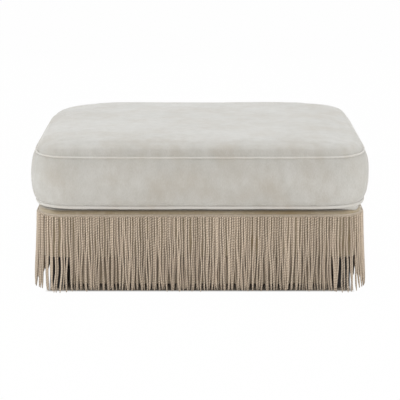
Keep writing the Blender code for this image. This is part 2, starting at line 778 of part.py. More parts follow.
def lofted(name, section, finish, top_cap, bottom_cap):
    """The surface that an (inset, height) section, top to bottom, makes round the cushion."""
    shape = bmesh.new()
    rings = []
    for inset, height in section:
        rings.append([shape.verts.new(point) for point in cushion_ring(inset, height)])
    count = len(rings[0])
    for upper, lower in zip(rings, rings[1:]):
        for i in range(count):
            after = (i + 1) % count
            shape.faces.new((upper[i], lower[i], lower[after], upper[after]))
    if top_cap:
        shape.faces.new(rings[0])
    if bottom_cap:
        shape.faces.new(rings[-1][::-1])
    mesh = bpy.data.meshes.new(name)
    shape.to_mesh(mesh)
    shape.free()
    mesh.shade_smooth()
    return add(name, mesh, finish)


def thicken(skin):
    """Gives a cushion panel its cloth thickness, on its inner side."""
    solid = skin.modifiers.new("Cloth thickness", "SOLIDIFY")
    solid.thickness = CUSHION_FABRIC
    solid.offset = -1.0
    solid.use_even_offset = True


def make_cushion(foam, velvet):
    crown, boxing, belly = cushion_sections()
    inner = moved_in(crown + boxing + belly, CUSHION_FABRIC + CLEARANCE)
    lofted("cushion_core", inner, foam, True, True)
    thicken(lofted("cushion_top_panel", crown, velvet, True, False))
    thicken(lofted("cushion_boxing", boxing, velvet, False, False))
    thicken(lofted("cushion_bottom_panel", belly, velvet, False, True))


def make_piping(finish):
    """A cord in a cloth sleeve along each seam, standing a little proud of it."""
    for name, height in (("top_piping", TOP_SEAM), ("bottom_piping", BOTTOM_SEAM)):
        curve = bpy.data.curves.new(name, "CURVE")
        curve.dimensions = "3D"
        curve.twist_mode = "Z_UP"
        curve.bevel_depth = PIPING_RADIUS
        curve.bevel_resolution = 1
        points = cushion_ring(SEAM_INSET - PIPING_PROUD, height)
        spline = curve.splines.new("POLY")
        spline.points.add(len(points) - 1)
        for point, place in zip(spline.points, points):
            point.co = (*place, 1.0)
        spline.use_cyclic_u = True
        add(name, curve, finish)


# Zip


def extruded_along_x(name, outline, length, finish):
    """A (y, z) outline given a length along X, centred on x = 0."""
    solid = flat_outline(name, outline, length, None)
    solid.rotation_euler = (math.pi / 2, 0, math.pi / 2)
    bpy.context.view_layer.update()
    return as_mesh(solid, finish)


def make_zip(tape_cloth, metal):
    """A coil zip on the back of the boxing, closed at the right end, with its slider and pull."""
    middle = (TOP_SEAM + BOTTOM_SEAM) / 2
    half_tape = ZIP_TAPE_HEIGHT / 2
    half_coil = ZIP_COIL_WIDTH / 2
    wall = boxing_inset(half_tape)
    tape_in = CUSHION_DEPTH / 2 + CLEARANCE
    tape_out = tape_in + ZIP_TAPE_THICKNESS
    coil_out = tape_out + ZIP_COIL_HEIGHT
    half_profile = [
        (coil_out, half_coil),
        (tape_out, half_coil),
        (tape_out - wall, half_tape),
        (tape_in - wall, half_tape),
        (tape_in, 0.0),
    ]
    mirrored = [(y, -z) for y, z in half_profile[-2::-1]]
    outline = [(y, middle + z) for y, z in half_profile + mirrored]
    tape = extruded_along_x("zip_tape", outline, ZIP_LENGTH, tape_cloth)
    stop_y = (tape_out - ZIP_TAPE_THICKNESS / 2, tape_out + ZIP_STOP_HEIGHT)
    for side, name in ((-1, "zip_stop_left"), (1, "zip_stop_right")):
        stop_size = (ZIP_STOP_LENGTH, stop_y[1] - stop_y[0], ZIP_STOP_WIDTH)
        stop_x = side * (ZIP_LENGTH - ZIP_STOP_LENGTH) / 2
        stop = block(name, stop_size, (stop_x, sum(stop_y) / 2, middle), None, CUTTERS)
        join(tape, stop)

    slider_x = (ZIP_LENGTH - SLIDER_LENGTH) / 2 - ZIP_STOP_LENGTH - CLEARANCE
    groove = half_coil + CLEARANCE
    groove_out = coil_out + CLEARANCE
    slider_in = tape_out + CLEARANCE
    slider_out = groove_out + SLIDER_THICKNESS
    slider_outline = [
        (slider_in, groove),
        (groove_out, groove),
        (groove_out, -groove),
        (slider_in, -groove),
        (slider_in, -SLIDER_WIDTH / 2),
        (slider_out, -SLIDER_WIDTH / 2),
        (slider_out, SLIDER_WIDTH / 2),
        (slider_in, SLIDER_WIDTH / 2),
    ]
    slider = extruded_along_x("zip_slider", slider_outline, SLIDER_LENGTH, metal)
    slider.location.x += slider_x
    slider.location.z += middle
    eye_radius = PULL_PIN_RADIUS + CLEARANCE + PULL_THICKNESS / 2
    pin_y = slider_out + CLEARANCE + eye_radius
    ear_in = PULL_WIDTH / 2 + CLEARANCE
    for side in (-1, 1):
        ear_size = (PULL_EAR_LENGTH, pin_y + eye_radius - slider_out, PULL_EAR_WIDTH)
        ear_y = (pin_y + eye_radius + slider_out) / 2 - CLEARANCE
        ear_z = middle + side * (ear_in + PULL_EAR_WIDTH / 2)
        ear = block(f"pull_ear_{side}", ear_size, (slider_x, ear_y, ear_z), None, CUTTERS)
        join(slider, ear)
    pin_length = 2 * ear_in + PULL_EAR_WIDTH
    pin = [(0.0, pin_length / 2), (PULL_PIN_RADIUS, pin_length / 2)]
    pin += [(radius, -height) for radius, height in pin[::-1]]
    pin = turned("pull_pin", pin, None, collection=CUTTERS)
    pin.location = (slider_x, pin_y, middle)
    join(slider, pin)
    make_pull(metal, (slider_x, pin_y, middle), eye_radius)


def boxing_inset(from_middle):
    """How far the boxing has drawn in at a height above or below its middle."""
    ring_step = BOXING_HEIGHT / BOXING_STEPS
    first_ring = boxing_section()[BOXING_STEPS // 2 - 1]
    return first_ring.x * from_middle / ring_step


def make_pull(metal, pin_place, eye_radius):
    """A flat tab that hangs from the slider's pin by an eye, lying towards -X at rest."""
    half = PULL_THICKNESS / 2
    start = math.degrees(math.asin(half / eye_radius))
    eye = arc((0.0, 0.0), eye_radius, -180 + start, 180 - start, HALF_TURN_STEPS)
    outline = [*eye, (-PULL_LENGTH, half), (-PULL_LENGTH, -half)]
    hole_radius = PULL_PIN_RADIUS + CLEARANCE
    hole = arc((0.0, 0.0), hole_radius, 0, 360, HALF_TURN_STEPS)[:-1]
    tab = flat_outline("zip_pull", outline, PULL_WIDTH, metal)
    spline = tab.data.splines.new("POLY")
    spline.points.add(len(hole) - 1)
    for point, (x, y) in zip(spline.points, hole):
        point.co = (x, y, 0.0, 1.0)
    spline.use_cyclic_u = True
    tab.location = pin_place


def main():
    clear_scene()
    finish = make_materials()
    make_rails(finish["timber"])
    make_corner_posts(finish["timber"])
    make_webbing(finish["webbing"])
    make_deck(finish["pad"], finish["base_cloth"])
    make_dust_cover(finish["dust_cloth"])
    make_linings(finish["lining"])
    make_feet(finish["black"], finish["steel"], finish["felt"])
    make_fringe(finish["fringe"])
    make_cushion(finish["foam"], finish["velvet"])
    make_piping(finish["piping"])
    make_zip(finish["tape"], finish["zip_metal"])


main()
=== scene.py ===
# %% [markdown]
# # A fringed footstool
#
# The real footstool is a padded base on four block feet, hidden behind a long cord fringe, with a
# loose box cushion in ivory velvet on top. Its frame, with every piece at its real size, is made
# already. This lesson dresses it: the rigid pieces get their finishes, and the cushion, the cloth
# and the fringe are made anew, as soft things that bulge, hang and sway.

import math

import bmesh
import bpy
import numpy as np
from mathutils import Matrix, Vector, noise


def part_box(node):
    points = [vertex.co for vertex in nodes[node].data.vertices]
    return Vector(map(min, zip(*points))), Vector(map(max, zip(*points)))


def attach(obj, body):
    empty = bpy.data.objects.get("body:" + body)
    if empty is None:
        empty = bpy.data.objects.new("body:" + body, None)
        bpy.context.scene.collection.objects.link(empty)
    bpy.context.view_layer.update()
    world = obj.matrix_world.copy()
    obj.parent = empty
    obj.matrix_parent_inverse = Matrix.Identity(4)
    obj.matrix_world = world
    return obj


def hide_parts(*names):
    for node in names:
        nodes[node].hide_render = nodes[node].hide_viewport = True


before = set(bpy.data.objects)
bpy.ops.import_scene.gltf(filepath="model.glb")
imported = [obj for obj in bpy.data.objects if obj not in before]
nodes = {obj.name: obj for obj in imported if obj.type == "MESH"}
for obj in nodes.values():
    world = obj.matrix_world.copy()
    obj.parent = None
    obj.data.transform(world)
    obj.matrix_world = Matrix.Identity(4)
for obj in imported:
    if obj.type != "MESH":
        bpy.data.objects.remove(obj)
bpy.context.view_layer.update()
print("pieces in the frame:", len(nodes))

# %% [markdown]
# ## Camera
#
# The stool is seen straight from the front, through a long lens and from a little above, which
# keeps its sides nearly parallel. The camera looks at a point on the middle axis, and its place
# follows from a distance and an angle.

# %% Camera
TARGET_HEIGHT = 0.188
CAMERA_DISTANCE = 4.17
CAMERA_ELEVATION = math.radians(14.53)
CAMERA_LENS_MM = 119.1

scene = bpy.context.scene
scene.view_settings.view_transform = "Standard"
camera = bpy.data.objects.new("camera", bpy.data.cameras.new("camera"))
scene.collection.objects.link(camera)
scene.camera = camera
camera.data.lens = CAMERA_LENS_MM
back = Vector((0, -math.cos(CAMERA_ELEVATION), math.sin(CAMERA_ELEVATION)))
camera.location = Vector((0, 0, TARGET_HEIGHT)) + CAMERA_DISTANCE * back
camera.rotation_euler = back.to_track_quat("Z", "Y").to_euler()
print("camera at", [round(x, 3) for x in camera.location])

# %% [markdown]
# ## Shader sums
#
# Every finish here is a small tree of nodes. Written out node by node, such a tree is hard to
# read, so one class wraps an output socket and lets it take part in sums as a number does. The
# same class builds the Geometry Nodes trees further on.


# %% A wire that takes part in sums
class Wire:
    """A node's output socket. Sums with it add Math nodes to its tree."""

    def __init__(self, tree, socket=None):
        self.tree = tree
        self.socket = socket

    def node(self, kind, settings=None, inputs=None, output=0):
        """Adds a node, sets it up, plugs wires or values into it, and gives one of its outputs."""
        made = self.tree.nodes.new(kind)
        for name, value in (settings or {}).items():
            if name == "stops":
                set_stops(made.color_ramp, value)
            else:
                setattr(made, name, value)
        for key, value in (inputs or {}).items():
            if isinstance(value, Wire):
                self.tree.links.new(value.socket, made.inputs[key])
            else:
                made.inputs[key].default_value = value
        return Wire(self.tree, made.outputs[output])

    def of(self, output):
        """Another output of the same node."""
        return Wire(self.tree, self.socket.node.outputs[output])

    def maths(self, operation, first, second=0.0):
        return self.node("ShaderNodeMath", {"operation": operation}, {0: first, 1: second})

    def vector_maths(self, operation, first, second, output=0):
        inputs = {0: first, 1: second}
        return self.node("ShaderNodeVectorMath", {"operation": operation}, inputs, output)

    def __add__(self, other):
        return self.maths("ADD", self, other)

    def __radd__(self, other):
        return self.maths("ADD", other, self)

    def __sub__(self, other):
        return self.maths("SUBTRACT", self, other)

    def __rsub__(self, other):
        return self.maths("SUBTRACT", other, self)

    def __mul__(self, other):
        return self.maths("MULTIPLY", self, other)

    def __rmul__(self, other):
        return self.maths("MULTIPLY", other, self)

    def __truediv__(self, other):
        return self.maths("DIVIDE", self, other)

    def __pow__(self, other):
        return self.maths("POWER", self, other)


def set_stops(ramp, stops):
    """Gives a colour ramp its (place, colour) stops."""
    while len(ramp.elements) < len(stops):
        ramp.elements.new(1.0)
    for element, (place, colour) in zip(ramp.elements, stops):
        element.position = place
        element.color = (*colour, 1.0)


# %% Small helpers for finishes
def object_place(wire):
    return wire.node("ShaderNodeTexCoord", output="Object")


def new_finish(name, constants):
    """A material with its constant values set: gives it, its shader and the place on the object."""
    made = bpy.data.materials.new(name)
    made.use_nodes = True
    shader = made.node_tree.nodes["Principled BSDF"]
    for socket, value in constants.items():
        shader.inputs[socket].default_value = value
    return made, shader, object_place(Wire(made.node_tree))


def feed(shader, **wires):
    """Plugs wires into a shader; a name such as Base_Color stands for the socket Base Color."""
    for name, wire in wires.items():
        wire.tree.links.new(wire.socket, shader.inputs[name.replace("_", " ")])


def split(vector):
    """The x, y and z of a vector, as three wires."""
    x = vector.node("ShaderNodeSeparateXYZ", inputs={0: vector})
    return x, x.of(1), x.of(2)


def cloud(place, per_metre, detail=2.0, drawn_out=(1.0, 1.0, 1.0)):
    """Soft noise from 0 to 1, with so many spots to a metre, drawn out along an axis if asked."""
    scales = [per_metre / length for length in drawn_out]
    shrunk = place.vector_maths("MULTIPLY", place, scales)
    return place.node("ShaderNodeTexNoise", inputs={"Vector": shrunk, "Scale": 1.0, "Detail": detail})


def stretched(value, low, high):
    """Spreads the range from low to high over 0 to 1, and cuts off what lies outside it."""
    return value.node("ShaderNodeMapRange", inputs={0: value, 1: low, 2: high, 3: 0.0, 4: 1.0})


def spots(place, per_metre, detail=2.0, drawn_out=(1.0, 1.0, 1.0), ends=(0.3, 0.7)):
    """A cloud with more contrast: it climbs from 0 to 1 between the two ends."""
    return stretched(cloud(place, per_metre, detail, drawn_out), *ends)


def point_value(place, title, output="Fac"):
    """Reads what each point of a piece keeps under a name."""
    return place.node("ShaderNodeAttribute", {"attribute_name": title}, output=output)


def mixed(share, first, second):
    """A colour between two colours, or wires of colours."""
    colours = [c if isinstance(c, Wire) else (*c, 1.0) for c in (first, second)]
    inputs = {0: share, 6: colours[0], 7: colours[1]}
    return share.node("ShaderNodeMix", {"data_type": "RGBA"}, inputs, output=2)


def dented(height, depth, strength=1.0, on=None):
    """The surface normal of a height from 0 to 1 that stands so many metres deep."""
    inputs = {"Height": height, "Distance": depth, "Strength": strength}
    if on:
        inputs["Normal"] = on
    return height.node("ShaderNodeBump", inputs=inputs)


print("shader helpers ready")

# %% [markdown]
# ## Velvet
#
# The cushion's velvet is pale, with patches where the pile leans another way and a fine, short
# grain. Patches of tone and of hue are two clouds of different size; the pile itself is only a
# dent a fraction of a millimetre deep. Sheen lights the edges, where one looks across the pile.


# %% Velvet finish
def velvet(name, light, deep, warm, sheen):
    """Velvet between a light and a deep tone, with patches of a warmer hue and painted shade."""
    constants = {"Specular IOR Level": 0.15, "Sheen Weight": sheen, "Sheen Roughness": 0.4}
    finish, shader, place = new_finish(name, constants)
    patches = spots(place, 7.0, 4.0, (1.5, 1.5, 1.0), (0.36, 0.64))
    crush = spots(place, 38.0, 4.0, (1.0, 1.0, 1.6), (0.32, 0.68))
    grain = spots(place, 420.0, 2.0, (1.0, 1.0, 3.0))
    hue = spots(place, 11.0, 3.0, ends=(0.38, 0.66))
    tone = 0.3 * patches + 0.35 * crush + 0.35 * grain
    warmed = mixed(hue * (1 - tone) * 0.7, mixed(tone, deep, light), warm)
    # Painted shade: where a piece keeps it, the colour is drawn towards a darker copy of the deep tone.
    painted_shade_colour = [colour * 0.45 for colour in deep]
    feed(
        shader,
        Base_Color=mixed(point_value(place, "nap") * 0.3, warmed, painted_shade_colour),
        Roughness=0.78 + 0.15 * crush,
        Normal=dented(crush, 0.0012, 0.55, dented(grain, 0.0004, 0.7)),
    )
    return finish


ivory_velvet = velvet("ivory_velvet", (0.585, 0.575, 0.55), (0.455, 0.44, 0.405), (0.465, 0.425, 0.37), 0.3)
# The piping's velvet is the ivory velvet made lighter and more even: painted highlight. The zip's stitches
# take it too.
ivory_piping = velvet("ivory_piping", (0.61, 0.595, 0.56), (0.54, 0.525, 0.49), (0.51, 0.46, 0.4), 0.5)
taupe_velvet = velvet("taupe_velvet", (0.46, 0.4, 0.31), (0.28, 0.215, 0.125), (0.28, 0.205, 0.105), 1.0)
print("velvets:", ivory_velvet.name, ivory_piping.name, taupe_velvet.name)

# %% [markdown]
# ## Cord
#
# Each strand of the fringe is a twisted cord of two plies. At a few dozen faces a strand can't
# show its twist in its shape, so the finish paints it: a painted highlight on the ridge and painted
# shade in the groove. Each point of a strand knows where it is round the strand, as a cosine and a
# sine, and how far along it: from these the ridge of the twist is one sum, with no seam anywhere.
# Each strand also carries a random tone of its own.

# %% Cord finish
TWIST_PITCH = 0.0075


def twisted_cord(name, lit_colour, shaded_colour):
    """A cord of two plies, with painted shade near the floor and on the flanks where strands lie close."""
    constants = {"Specular IOR Level": 0.35, "Sheen Weight": 0.25, "Sheen Roughness": 0.4}
    finish, shader, place = new_finish(name, constants)
    cosine, sine, along = split(point_value(place, "wound", "Vector"))
    turn = along * (2 * math.pi / TWIST_PITCH)
    stripe = cosine * place.maths("COSINE", turn) + sine * place.maths("SINE", turn)
    ridge = stretched(stripe, -0.35, 0.5)
    fibre = spots(place, 900.0)
    tone = point_value(place, "tone")
    # Painted shade on the flanks of a strand that face its neighbours.
    unshaded_side = stretched(point_value(place, "facing"), -0.1, 0.95)
    _, _, height = split(place)
    # Painted shade: the cord darkens towards the floor.
    dust = 1 - 0.16 * (1 - stretched(height, 0.0, 0.16))
    # The colour runs from the shaded to the lit colour: painted highlight on the ridges, painted shade in
    # the grooves, on the flanks and towards the floor, and each strand's own random tone.
    shade = (0.38 * ridge + 0.06 * fibre + 0.28 * tone + 0.25) * (0.84 + 0.16 * unshaded_side) * dust
    feed(
        shader,
        Base_Color=mixed(shade, shaded_colour, lit_colour),
        Roughness=0.72 - 0.18 * ridge,
        Normal=dented(ridge + 0.15 * fibre, 0.0011, 0.8),
    )
    return finish


champagne_cord = twisted_cord("champagne_cord", (0.8, 0.665, 0.525), (0.165, 0.122, 0.082))
print("cord:", champagne_cord.name)

# %% [markdown]
# ## Plain cloths
#
# The hidden cloths are woven. A weave is two sets of threads at right angles: a sine across each,
# and the thread on top is the one whose sine is higher. The threads run along the two directions
# of the piece that it lies in, so each cloth says which two axes these are.


# %% Woven finish
def sine_weave(place, first, second, thread):
    """The heights of a plain weave, from 0 to 1, with threads of a width along two wires."""
    beat = math.pi / thread
    crossing = place.maths("SINE", first * beat) * place.maths("SINE", second * beat)
    return stretched(crossing, -1.0, 1.0)


def woven(name, colour, dark, thread, axes=(0, 1), roughness=0.85, depth=0.0003):
    """Plain weave with threads of a given width, along two of the object's axes."""
    finish, shader, place = new_finish(name, {"Specular IOR Level": 0.2, "Sheen Weight": 0.1})
    coordinates = split(place)
    weave = sine_weave(place, coordinates[axes[0]], coordinates[axes[1]], thread)
    slubs = spots(place, 160.0, 3.0, (4.0, 4.0, 1.0))
    fade = spots(place, 6.0, 3.0)
    feed(
        shader,
        # Painted shade where the weave dips, mixed with slubs and broad patches of the cloth's own tone.
        Base_Color=mixed(0.4 * weave + 0.3 * slubs + 0.3 * fade, dark, colour),
        Roughness=roughness - 0.1 * weave,
        Normal=dented(weave, depth, 0.6),
    )
    return finish


lining_cloth = woven("taupe_lining", (0.48, 0.4, 0.3), (0.32, 0.26, 0.19), 0.0011, (0, 2))
dust_cloth = woven("black_dust_cloth", (0.035, 0.035, 0.036), (0.012, 0.012, 0.012), 0.0014)
zip_cloth = woven("zip_tape_cloth", (0.62, 0.6, 0.55), (0.42, 0.4, 0.36), 0.0007, (0, 2))
braid = woven("heading_braid", (0.64, 0.555, 0.46), (0.47, 0.4, 0.32), 0.0012, (0, 2), 0.8, 0.0005)
wadding = woven("deck_wadding", (0.82, 0.79, 0.7), (0.68, 0.64, 0.55), 0.004, (0, 1), 0.95, 0.0008)

# %% [markdown]
# ## Jute, timber, lacquer, felt and metal
#
# The straps are jute with a stripe near each edge. The rails are softwood, whose grain is noise
# drawn out along the board. The feet are lacquered black, with faint brush marks. The glides are
# felt, and the bolts and inserts are zinc plated.


# %% Jute, timber, lacquer, felt and metal finishes
JUTE_THREAD = 0.0018


def jute(name):
    """Jute strap webbing. Each point of a strap knows where it is across it, from -1 to 1."""
    finish, shader, place = new_finish(name, {"Specular IOR Level": 0.15, "Sheen Weight": 0.2})
    x, y, _ = split(place)
    weave = sine_weave(place, x, y, JUTE_THREAD)
    slubs = spots(place, 260.0, 3.0)
    off_middle = place.maths("ABSOLUTE", point_value(place, "across"))
    off_line = place.maths("ABSOLUTE", off_middle - 0.66)
    stripe = 1 - stretched(off_line, 0.05, 0.08)
    # Painted shade where the weave dips, mixed with the jute's own slubs.
    plain = mixed(0.5 * weave + 0.5 * slubs, (0.3, 0.21, 0.12), (0.56, 0.43, 0.27))
    feed(
        shader,
        Base_Color=mixed(stripe * 0.75, plain, (0.22, 0.05, 0.035)),
        Roughness=0.82 + 0.12 * slubs,
        Normal=dented(0.7 * weave + 0.3 * slubs, 0.0007, 0.7),
    )
    return finish


def timber(name, run):
    """Softwood whose grain runs along one of the object's axes."""
    finish, shader, place = new_finish(name, {"Specular IOR Level": 0.3})
    drawn_out = [12.0 if axis == run else 1.0 for axis in range(3)]
    figure = cloud(place, 55.0, 3.0, drawn_out)
    rings = stretched(place.maths("SINE", figure * 60.0), -1.0, 1.0)
    pores = spots(place, 700.0, 2.0, drawn_out, (0.35, 0.65))
    feed(
        shader,
        Base_Color=mixed(0.6 * rings + 0.4 * pores, (0.44, 0.28, 0.14), (0.66, 0.48, 0.28)),
        Roughness=0.6 + 0.2 * pores,
        Normal=dented(pores, 0.0002, 0.5),
    )
    return finish


def lacquer(name):
    """Black lacquer with upright brush marks and a little dust."""
    finish, shader, place = new_finish(name, {"Specular IOR Level": 0.25, "Coat Weight": 0.08})
    brush = spots(place, 320.0, 2.0, (1.0, 1.0, 14.0))
    dust = spots(place, 40.0, 4.0, ends=(0.45, 0.75))
    feed(
        shader,
        Base_Color=mixed(dust * 0.4, (0.004, 0.004, 0.004), (0.022, 0.02, 0.018)),
        Roughness=0.32 + 0.12 * brush + 0.15 * dust,
        Normal=dented(brush, 0.0001, 0.4),
    )
    return finish


def felt(name, colour):
    """Pressed fibres, half as bright in their hollows: painted shade."""
    finish, shader, place = new_finish(name, {"Specular IOR Level": 0.1, "Sheen Weight": 0.4})
    fluff = spots(place, 600.0, 5.0)
    tufts = spots(place, 120.0, 3.0)
    dark = [c * 0.5 for c in colour]
    feed(
        shader,
        Base_Color=mixed(0.6 * fluff + 0.4 * tufts, dark, colour),
        Roughness=0.9 + 0.1 * tufts,
        Normal=dented(fluff, 0.0006, 0.8),
    )
    return finish


def plated(name, colour, roughness):
    """Plated metal with a dull bloom."""
    finish, shader, place = new_finish(name, {})
    swirl = spots(place, 900.0)
    bloom = spots(place, 180.0, 3.0, ends=(0.35, 0.7))
    dull = [c * 0.7 for c in colour]
    feed(
        shader,
        Base_Color=mixed(bloom, dull, colour),
        Metallic=1.0 - 0.15 * bloom,
        Roughness=roughness + 0.15 * swirl,
        Normal=dented(swirl, 0.00005, 0.4),
    )
    return finish


black_lacquer = lacquer("black_lacquer")
grey_felt = felt("grey_felt", (0.16, 0.155, 0.15))
striped_jute = jute("striped_jute")
zinc = plated("zinc_plate", (0.62, 0.62, 0.64), 0.28)
zip_metal = plated("antique_nickel", (0.5, 0.47, 0.43), 0.3)

# %% [markdown]
# ## Dressing the rigid pieces
#
# The rigid pieces have their final shape already, so each only takes its finish. Most names
# begin with a word that tells what the piece is made of, and one table covers them all.

# %% Finishes of the rigid pieces
FINISHES = {
    "front_rail": timber("softwood_along_x", 0),
    "left_rail": timber("softwood_along_y", 1),
    "corner_post": timber("softwood_upright", 2),
    "foot": black_lacquer,
    "hanger_bolt": zinc,
    "insert_nut": zinc,
    "zip_slider": zip_metal,
    "zip_pull": zip_metal,
}
FINISHES["back_rail"] = FINISHES["front_rail"]
FINISHES["right_rail"] = FINISHES["left_rail"]
FINISHES["cross_rail"] = FINISHES["left_rail"]
dressed = 0
for node_name, node in nodes.items():
    for beginning, finish in FINISHES.items():
        if node_name.startswith(beginning):
            node.data.materials.clear()
            node.data.materials.append(finish)
            dressed += 1
print("rigid pieces dressed:", dressed)

# %% [markdown]
# ## Outlines and lofts
#
# Everything soft here follows a rounded rectangle seen from above. One function gives its points
# and the way out at each point; another joins rings of such points into a surface. The corners
# of the cushion are a little squarer than a circle, which an exponent above 2 gives.


# %% Outlines seen from above
def outline(half_x, half_y, radius, exponent=2.0, corner_steps=14, side_steps=(40, 28)):
    """Points of a rounded rectangle, counter-clockwise, as an array of x and y."""
    points = []
    for turn, (side_x, side_y) in enumerate(((1, 1), (-1, 1), (-1, -1), (1, -1))):
        centre = np.array((side_x * (half_x - radius), side_y * (half_y - radius)))
        for i in range(corner_steps + 1):
            angle = math.pi / 2 * (turn + i / corner_steps)
            reach = np.array((math.cos(angle), math.sin(angle)))
            reach = np.sign(reach) * np.abs(reach) ** (2 / exponent)
            points.append(centre + radius * reach)
        straight = 2 * ((half_x if turn % 2 == 0 else half_y) - radius)
        way = np.array((-side_x, 0.0) if turn % 2 == 0 else (0.0, -side_y))
        count = side_steps[turn % 2]
        corner_end = points[-1]
        for i in range(1, count):
            points.append(corner_end + way * straight * i / count)
    return np.array(points)


def ways_out(points):
    """The outward direction at each point of a counter-clockwise outline."""
    along = np.roll(points, -1, axis=0) - np.roll(points, 1, axis=0)
    along /= np.linalg.norm(along, axis=1)[:, None]
    return np.stack((along[:, 1], -along[:, 0]), axis=1)


def at_height(points, height):
    heights = np.broadcast_to(height, len(points))
    return np.column_stack((points, heights))


# %% Meshes from rings of points
def new_piece(name, mesh, finish=None):
    """Links a mesh as an object at the origin, smooth shaded, with its finish."""
    piece = bpy.data.objects.new(name, mesh)
    scene.collection.objects.link(piece)
    if finish:
        mesh.materials.clear()
        mesh.materials.append(finish)
    mesh.shade_smooth()
    return piece


def lofted(name, rings, cap_first=False, cap_last=False, closed=True):
    """A mesh of the surface between rings of as many points each, from the top to the bottom."""
    count = len(rings[0])
    points = np.concatenate(rings)
    faces = []
    for row in range(len(rings) - 1):
        for i in range(count if closed else count - 1):
            after = (i + 1) % count
            a, b = row * count + i, row * count + after
            faces.append((a, a + count, b + count, b))
    if cap_first:
        faces.append(tuple(range(count)))
    if cap_last:
        last = (len(rings) - 1) * count
        faces.append(tuple(range(last + count - 1, last - 1, -1)))
    mesh = bpy.data.meshes.new(name)
    mesh.from_pydata(points.tolist(), [], faces)
    return mesh


def mesh_of(shape, name):
    """A plain mesh from a bmesh, which is freed."""
    mesh = bpy.data.meshes.new(name)
    shape.to_mesh(mesh)
    shape.free()
    return mesh


def facing_out(mesh):
    """Merges the double points of a closed mesh and turns its faces outwards."""
    shape = bmesh.new()
    shape.from_mesh(mesh)
    bmesh.ops.remove_doubles(shape, verts=shape.verts, dist=0.00001)
    bmesh.ops.recalc_face_normals(shape, faces=shape.faces)
    shape.to_mesh(mesh)
    shape.free()
    return mesh


def settled(piece, finish=None):
    """The piece with its modifiers worked into a plain mesh."""
    graph = bpy.context.evaluated_depsgraph_get()
    mesh = bpy.data.meshes.new_from_object(piece.evaluated_get(graph))
    name = piece.name
    bpy.data.objects.remove(piece)
    mesh.name = name
    return new_piece(name, mesh, finish)


def points_of(piece, what="co"):
    """An array of each point's place, or of another vector that it has."""
    vectors = np.empty(len(piece.data.vertices) * 3)
    piece.data.vertices.foreach_get(what, vectors)
    return vectors.reshape(-1, 3)


def normals_of(piece):
    return points_of(piece, "normal")


def move_points(piece, points):
    piece.data.vertices.foreach_set("co", points.ravel())
    piece.data.update()


def keep_value(piece, title, values):
    """Keeps a number at each point under a name, for the finish to read."""
    kept = piece.data.attributes.new(title, "FLOAT", "POINT")
    kept.data.foreach_set("value", values.astype(np.float32))


def wander(points, per_metre, seed):
    """Smooth noise from -1 to 1 at each point."""
    shift = Vector((seed * 7.3, seed * 3.1, seed * 5.7))
    return np.array([noise.noise(Vector(p) * per_metre + shift) for p in points.tolist()])


print("outline and loft helpers ready")

# %% [markdown]
# Every finished piece is handed over in the same way. It rides on one body of the frame and moves
# with it, and where it stands for rigid pieces of the frame, those are hidden.


# %% Handing a piece over
def hand_over(piece, body, slot, *stands_for):
    """Puts a piece on a body and in the place of nodes of the frame. The slot is not used."""
    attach(piece, body)
    if stands_for:
        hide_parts(*stands_for)
    print(piece.name, "faces:", len(piece.data.polygons))


# %% [markdown]
# ## The cushion
#
# A box cushion is sewn from a top panel, a bottom panel and a band between them, over a foam
# block that is a little too big for it. The foam pushes the panels out between the seams: the top
# is crowned, and the band bulges. The cushion is lofted a little slack, given an even mesh, and
# then blown up as cloth, with the seams held where the piping is.


# %% Cushion sizes, read from the frame
def middle_height(node_name):
    low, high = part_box(node_name)
    return (low.z + high.z) / 2


_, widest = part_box("cushion_boxing")
CUSHION_HALF_X = widest.x
CUSHION_HALF_Y = widest.y
TOP_SEAM = middle_height("top_piping")
BOTTOM_SEAM = middle_height("bottom_piping")
CUSHION_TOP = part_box("cushion_top_panel")[1].z
CUSHION_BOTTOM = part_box("cushion_bottom_panel")[0].z
SEAM_INSET = 0.0165
SIDE_TRIM = 0.0032
END_TRIM = 0.0019
FRONT_INSET_SHARE = 0.65
FRONT_STEEPNESS = 0.42
EDGE_ROUND = 0.028
CORNER_RADIUS = 0.216
SEAM_SQUARENESS = 3.65
CROWN_SQUARENESS = 1.8
CROWN_REACH = 0.2
BELLY_WIDTH = 0.06
BULGE_FULLNESS = 0.48
LEAST_STRAIGHT = 0.005
ROUNDING_PACE = 0.6
print("seams at", round(TOP_SEAM, 4), round(BOTTOM_SEAM, 4), "top at", round(CUSHION_TOP, 4))


def cushion_ring(inset, height, reach=0.0, **steps):
    """A ring round the cushion, so far in from its widest outline, and less so at the front and
    the back. Corners are nearly square at the seams, and grow rounder up the crown."""
    into_crown = min(reach / CROWN_REACH, 1.0)
    half_x = CUSHION_HALF_X - SIDE_TRIM - inset - reach
    half_y = CUSHION_HALF_Y - END_TRIM - FRONT_INSET_SHARE * inset - reach
    half_y += FRONT_STEEPNESS * min(reach, EDGE_ROUND)
    radius = CORNER_RADIUS - inset - reach + CROWN_REACH * into_crown
    radius = min(radius, half_y - LEAST_STRAIGHT)
    rounder = (CROWN_SQUARENESS - SEAM_SQUARENESS) * into_crown**ROUNDING_PACE
    return at_height(outline(half_x, half_y, radius, SEAM_SQUARENESS + rounder, **steps), height)


# %% Loft the slack cushion
EDGE_RISE = 0.028
FRONT_EDGE_RISE = 0.031
BACK_EDGE_RISE = 0.025
FRONT_FULLNESS = 1.1
DOME_WIDTH = 0.2
CROWN_SLACK = 0.002
BULGE_SLACK = -0.15


